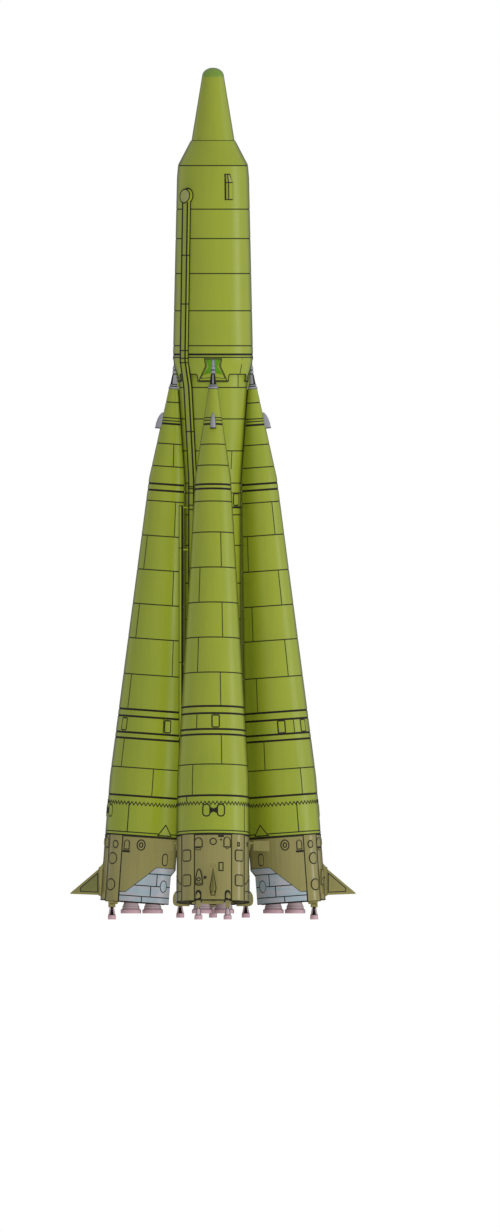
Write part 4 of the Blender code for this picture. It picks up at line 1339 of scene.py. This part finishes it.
def pipe(points, radius, sides=10):
    """Push a round face along a line of points."""
    points = [Vector(point) for point in points]
    bm = bmesh.new()
    stances = []
    for index, point in enumerate(points):
        ahead = points[min(index + 1, len(points) - 1)] - points[max(index - 1, 0)]
        stances.append(Matrix.Translation(point) @ ahead.to_track_quat("Z", "Y").to_matrix().to_4x4())
    bmesh.ops.create_circle(bm, cap_ends=True, segments=sides, radius=radius, matrix=stances[0])
    for index in range(1, len(points)):
        end = bm.faces[:] if index == 1 else [last]
        grown = bmesh.ops.extrude_face_region(bm, geom=end, use_keep_orig=index == 1)
        last = faces_of(grown)[0]
        for face in faces_of(grown):
            if len(face.verts) == sides:
                last = face
        step = stances[index] @ stances[index - 1].inverted()
        bmesh.ops.transform(bm, matrix=step, verts=last.verts[:])
    return bm


for way in (-1, 1):
    add(steering, pipe([(way * 0.06, 0, -0.06), (way * 0.078, 0, -0.16), (way * 0.096, 0, -0.27),
                        (way * 0.12, 0, -0.36)], 0.018))
steering_mesh = to_mesh(steering, "steering")


def steering_nozzle(name, place):
    placed(name + "_skin", steering_mesh, place, ENGINE_FINISH, "nozzle_metal", [name], name)


for side in BOOSTERS:
    for letter, way in (("a", -1), ("b", 1)):
        steering_nozzle(f"booster_{side}_vernier_{letter}",
                        upright(side) @ at(3.67, way * 0.53, 0.515))
    steering_nozzle(f"core_vernier_{side}", upright(side) @ at(1.19, 0, 0.58))

# %% [markdown]
# ## Pads under the rudders
# Under each air rudder a khaki wedge closes the space to the wall. The rudder turns about a
# level axis that stands square to the wedge's face, so it is clear of it at any angle.

# %% A wedge between wall and rudder
PAD_WIDE = 0.12
PAD = [(3.93, 0.715), (4.1345, 0.87), (4.1345, 1.87), (3.96, 2.08), (3.93, 2.08)]
pad = bmesh.new()
add(pad, thick(flat(PAD), PAD_WIDE), at(0, PAD_WIDE / 2, 0) @ turn(90, "X"))
on_boosters("rudder_pad", pad, [KHAKI], "khaki_paint", upright)

# %% [markdown]
# ## Air rudders
# Each rudder is a thin fin that turns on its hub. It is the hull of a pointed section at the
# root and a nearly sharp one at the tip. Each flank carries one pressed panel with dark
# edges; the panel's outline is cut with planes that run parallel to the fin's own edges.
# A dark root plate turns with the fin and narrows the gap to the pad.

# %% A fin with a pressed panel on each flank
FIN_ROOT, FIN_AXIS = 4.14, 1.35
FIN_TOP, FIN_RIDGE, FIN_FOOT = 0.52, -0.20, -0.46
TIP_X, TIP_TOP, TIP_RIDGE, TIP_FOOT = 1.04, -0.36, -0.40, -0.42
SECTIONS = [(0, 0, FIN_TOP), (0, 0.10, FIN_RIDGE), (0, 0.05, FIN_FOOT), (TIP_X, 0, TIP_TOP),
            (TIP_X, 0.0056, TIP_RIDGE), (TIP_X, 0.003, TIP_FOOT)]
fin = bmesh.new()
for x, y, z in SECTIONS:
    for way in (-1, 1) if y else (1,):
        fin.verts.new((x, way * y, z))
bmesh.ops.convex_hull(fin, input=fin.verts)
bmesh.ops.dissolve_limit(fin, angle_limit=math.radians(1), verts=fin.verts[:], edges=fin.edges[:])
leading = [edge for edge in fin.edges if all(abs(vert.co.y) < MERGE for vert in edge.verts)
           and edge.calc_length() > 1]
dark_edges(fin, leading)

# %% The panel's dark outline, cut parallel to the fin's edges
EDGE_DOWN = Vector((-(FIN_TOP - TIP_TOP), 0, -TIP_X)).normalized()
FOOT_UP = Vector((-(TIP_FOOT - FIN_FOOT), 0, TIP_X)).normalized()
BORDER, FOOT_BORDER, LINE_WIDE, SEAL = 0.10, 0.085, 0.032, 0.0047
PANEL_START, PANEL_END = 0.03, 0.66
start, foot = Vector((0, 0, FIN_TOP)), Vector((0, 0, FIN_FOOT))
for depth in (BORDER, BORDER + LINE_WIDE):
    slice_by(fin, start + depth * EDGE_DOWN, EDGE_DOWN)
    slice_by(fin, foot + (depth - BORDER + FOOT_BORDER) * FOOT_UP, FOOT_UP)
for x in (PANEL_START, PANEL_START + LINE_WIDE, PANEL_END, PANEL_END + LINE_WIDE):
    slice_by(fin, (x, 0, 0), (1, 0, 0))
for face in fin.faces:
    middle = face.calc_center_median()
    depth = min((middle - start).dot(EDGE_DOWN),
                (middle - foot).dot(FOOT_UP) + BORDER - FOOT_BORDER)
    if depth > BORDER and PANEL_START < middle.x < PANEL_END + LINE_WIDE and abs(face.normal.y) > 0.5:
        inner = depth > BORDER + LINE_WIDE and PANEL_START + LINE_WIDE < middle.x < PANEL_END
        face.material_index = 2 if inner else 1
root_plate = flat([(0, FIN_TOP + 0.03), (-0.13, FIN_RIDGE), (-0.08, FIN_FOOT - 0.02),
                   (0.08, FIN_FOOT - 0.02), (0.13, FIN_RIDGE)])
add(fin, painted(thick(root_plate, 0.012 + SEAL), 1), at(-SEAL, 0, 0) @ turn(90) @ turn(90, "X"))
hub = spun([(0, 0.02), (0.07, 0.02), (0.07, -SEAL), (0, -SEAL)], 24)
add(fin, hub, turn(90, "Y"))
fin_mesh = to_mesh(fin, "fin")
# Painted light and shade: the right rudder, on the lamp's side, is painted in the lighter khaki, and the
# left rudder's panel in the darker shaded copy.
FIN_PAINTS_LIT_AND_SHADED = {"front": [FIN, DARK, FIN], "right": [KHAKI, DARK, KHAKI], "rear": [FIN, DARK, FIN],
              "left": [FIN, DARK, SHADED_FIN_PANEL]}
for side, paints in FIN_PAINTS_LIT_AND_SHADED.items():
    name = f"booster_{side}_rudder"
    placed(name + "_skin", fin_mesh, upright(side) @ at(FIN_ROOT, 0, FIN_AXIS), paints, "green_paint",
           [name], name)

# %% [markdown]
# ## Tie rods
# Rods tie the four tails to lugs on the core. They are turned bars with a collar near each
# end, khaki where they enter the tails' brackets, with a block for the lug between two. They
# lie in two levels, so that they pass over each other.

# %% Rods with collars
ROD_AT, LUG_AT = 1.10, 1.0203
ROD_LEVELS = {"front": 2.78, "right": 2.58, "rear": 2.78, "left": 2.58}
HALF_ROD = [(0, 1.47, 1), (0.030, 1.47, 1), (0.0385, 1.46, 1), (0.0385, 1.40, 1), (0.055, 1.39, 1),
            (0.055, 1.30, 1), (0.0385, 1.29, 1), (0.0385, 0.24, 0), (0.055, 0.23, 0), (0.055, 0.15, 0),
            (0.0385, 0.14, 0)]
other_half = [(radius, -height, index) for (radius, height, _), (_, _, index)
              in zip(reversed(HALF_ROD), [HALF_ROD[-1], *reversed(HALF_ROD)])]
rods = bmesh.new()
add(rods, spun_in_colours(HALF_ROD + other_half, 20), at(ROD_AT, 0, 0) @ turn(90, "X"))
add(rods, thick(rectangle(0.28, 0.18, 0.03, 3), 0.135), at(LUG_AT, 0, 0) @ turn(90) @ turn(90, "X"))
rod_mesh = to_mesh(rods, "rods")
for side, level in ROD_LEVELS.items():
    placed(f"tie_rods_{side}_skin", rod_mesh, upright(side) @ at(0, 0, level), [STRUT, KHAKI],
           "strut_steel", [f"tie_rods_{side}"])

# %% [markdown]
# ## Finishing the CAD parts that stay in view
# The tails of the core and the boosters keep their CAD shape, and take the khaki paint.

# %% Paint the CAD tails
for name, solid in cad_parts.items():
    if not solid.hide_render:
        solid.data.materials.clear()
        solid.data.materials.append(KHAKI)
        print("painted", name)

# %% Print the count of pieces and the visual box
low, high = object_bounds()
print("pieces:", len(made_pieces), "visual box:", [round(b - a, 3) for a, b in zip(low, high)])
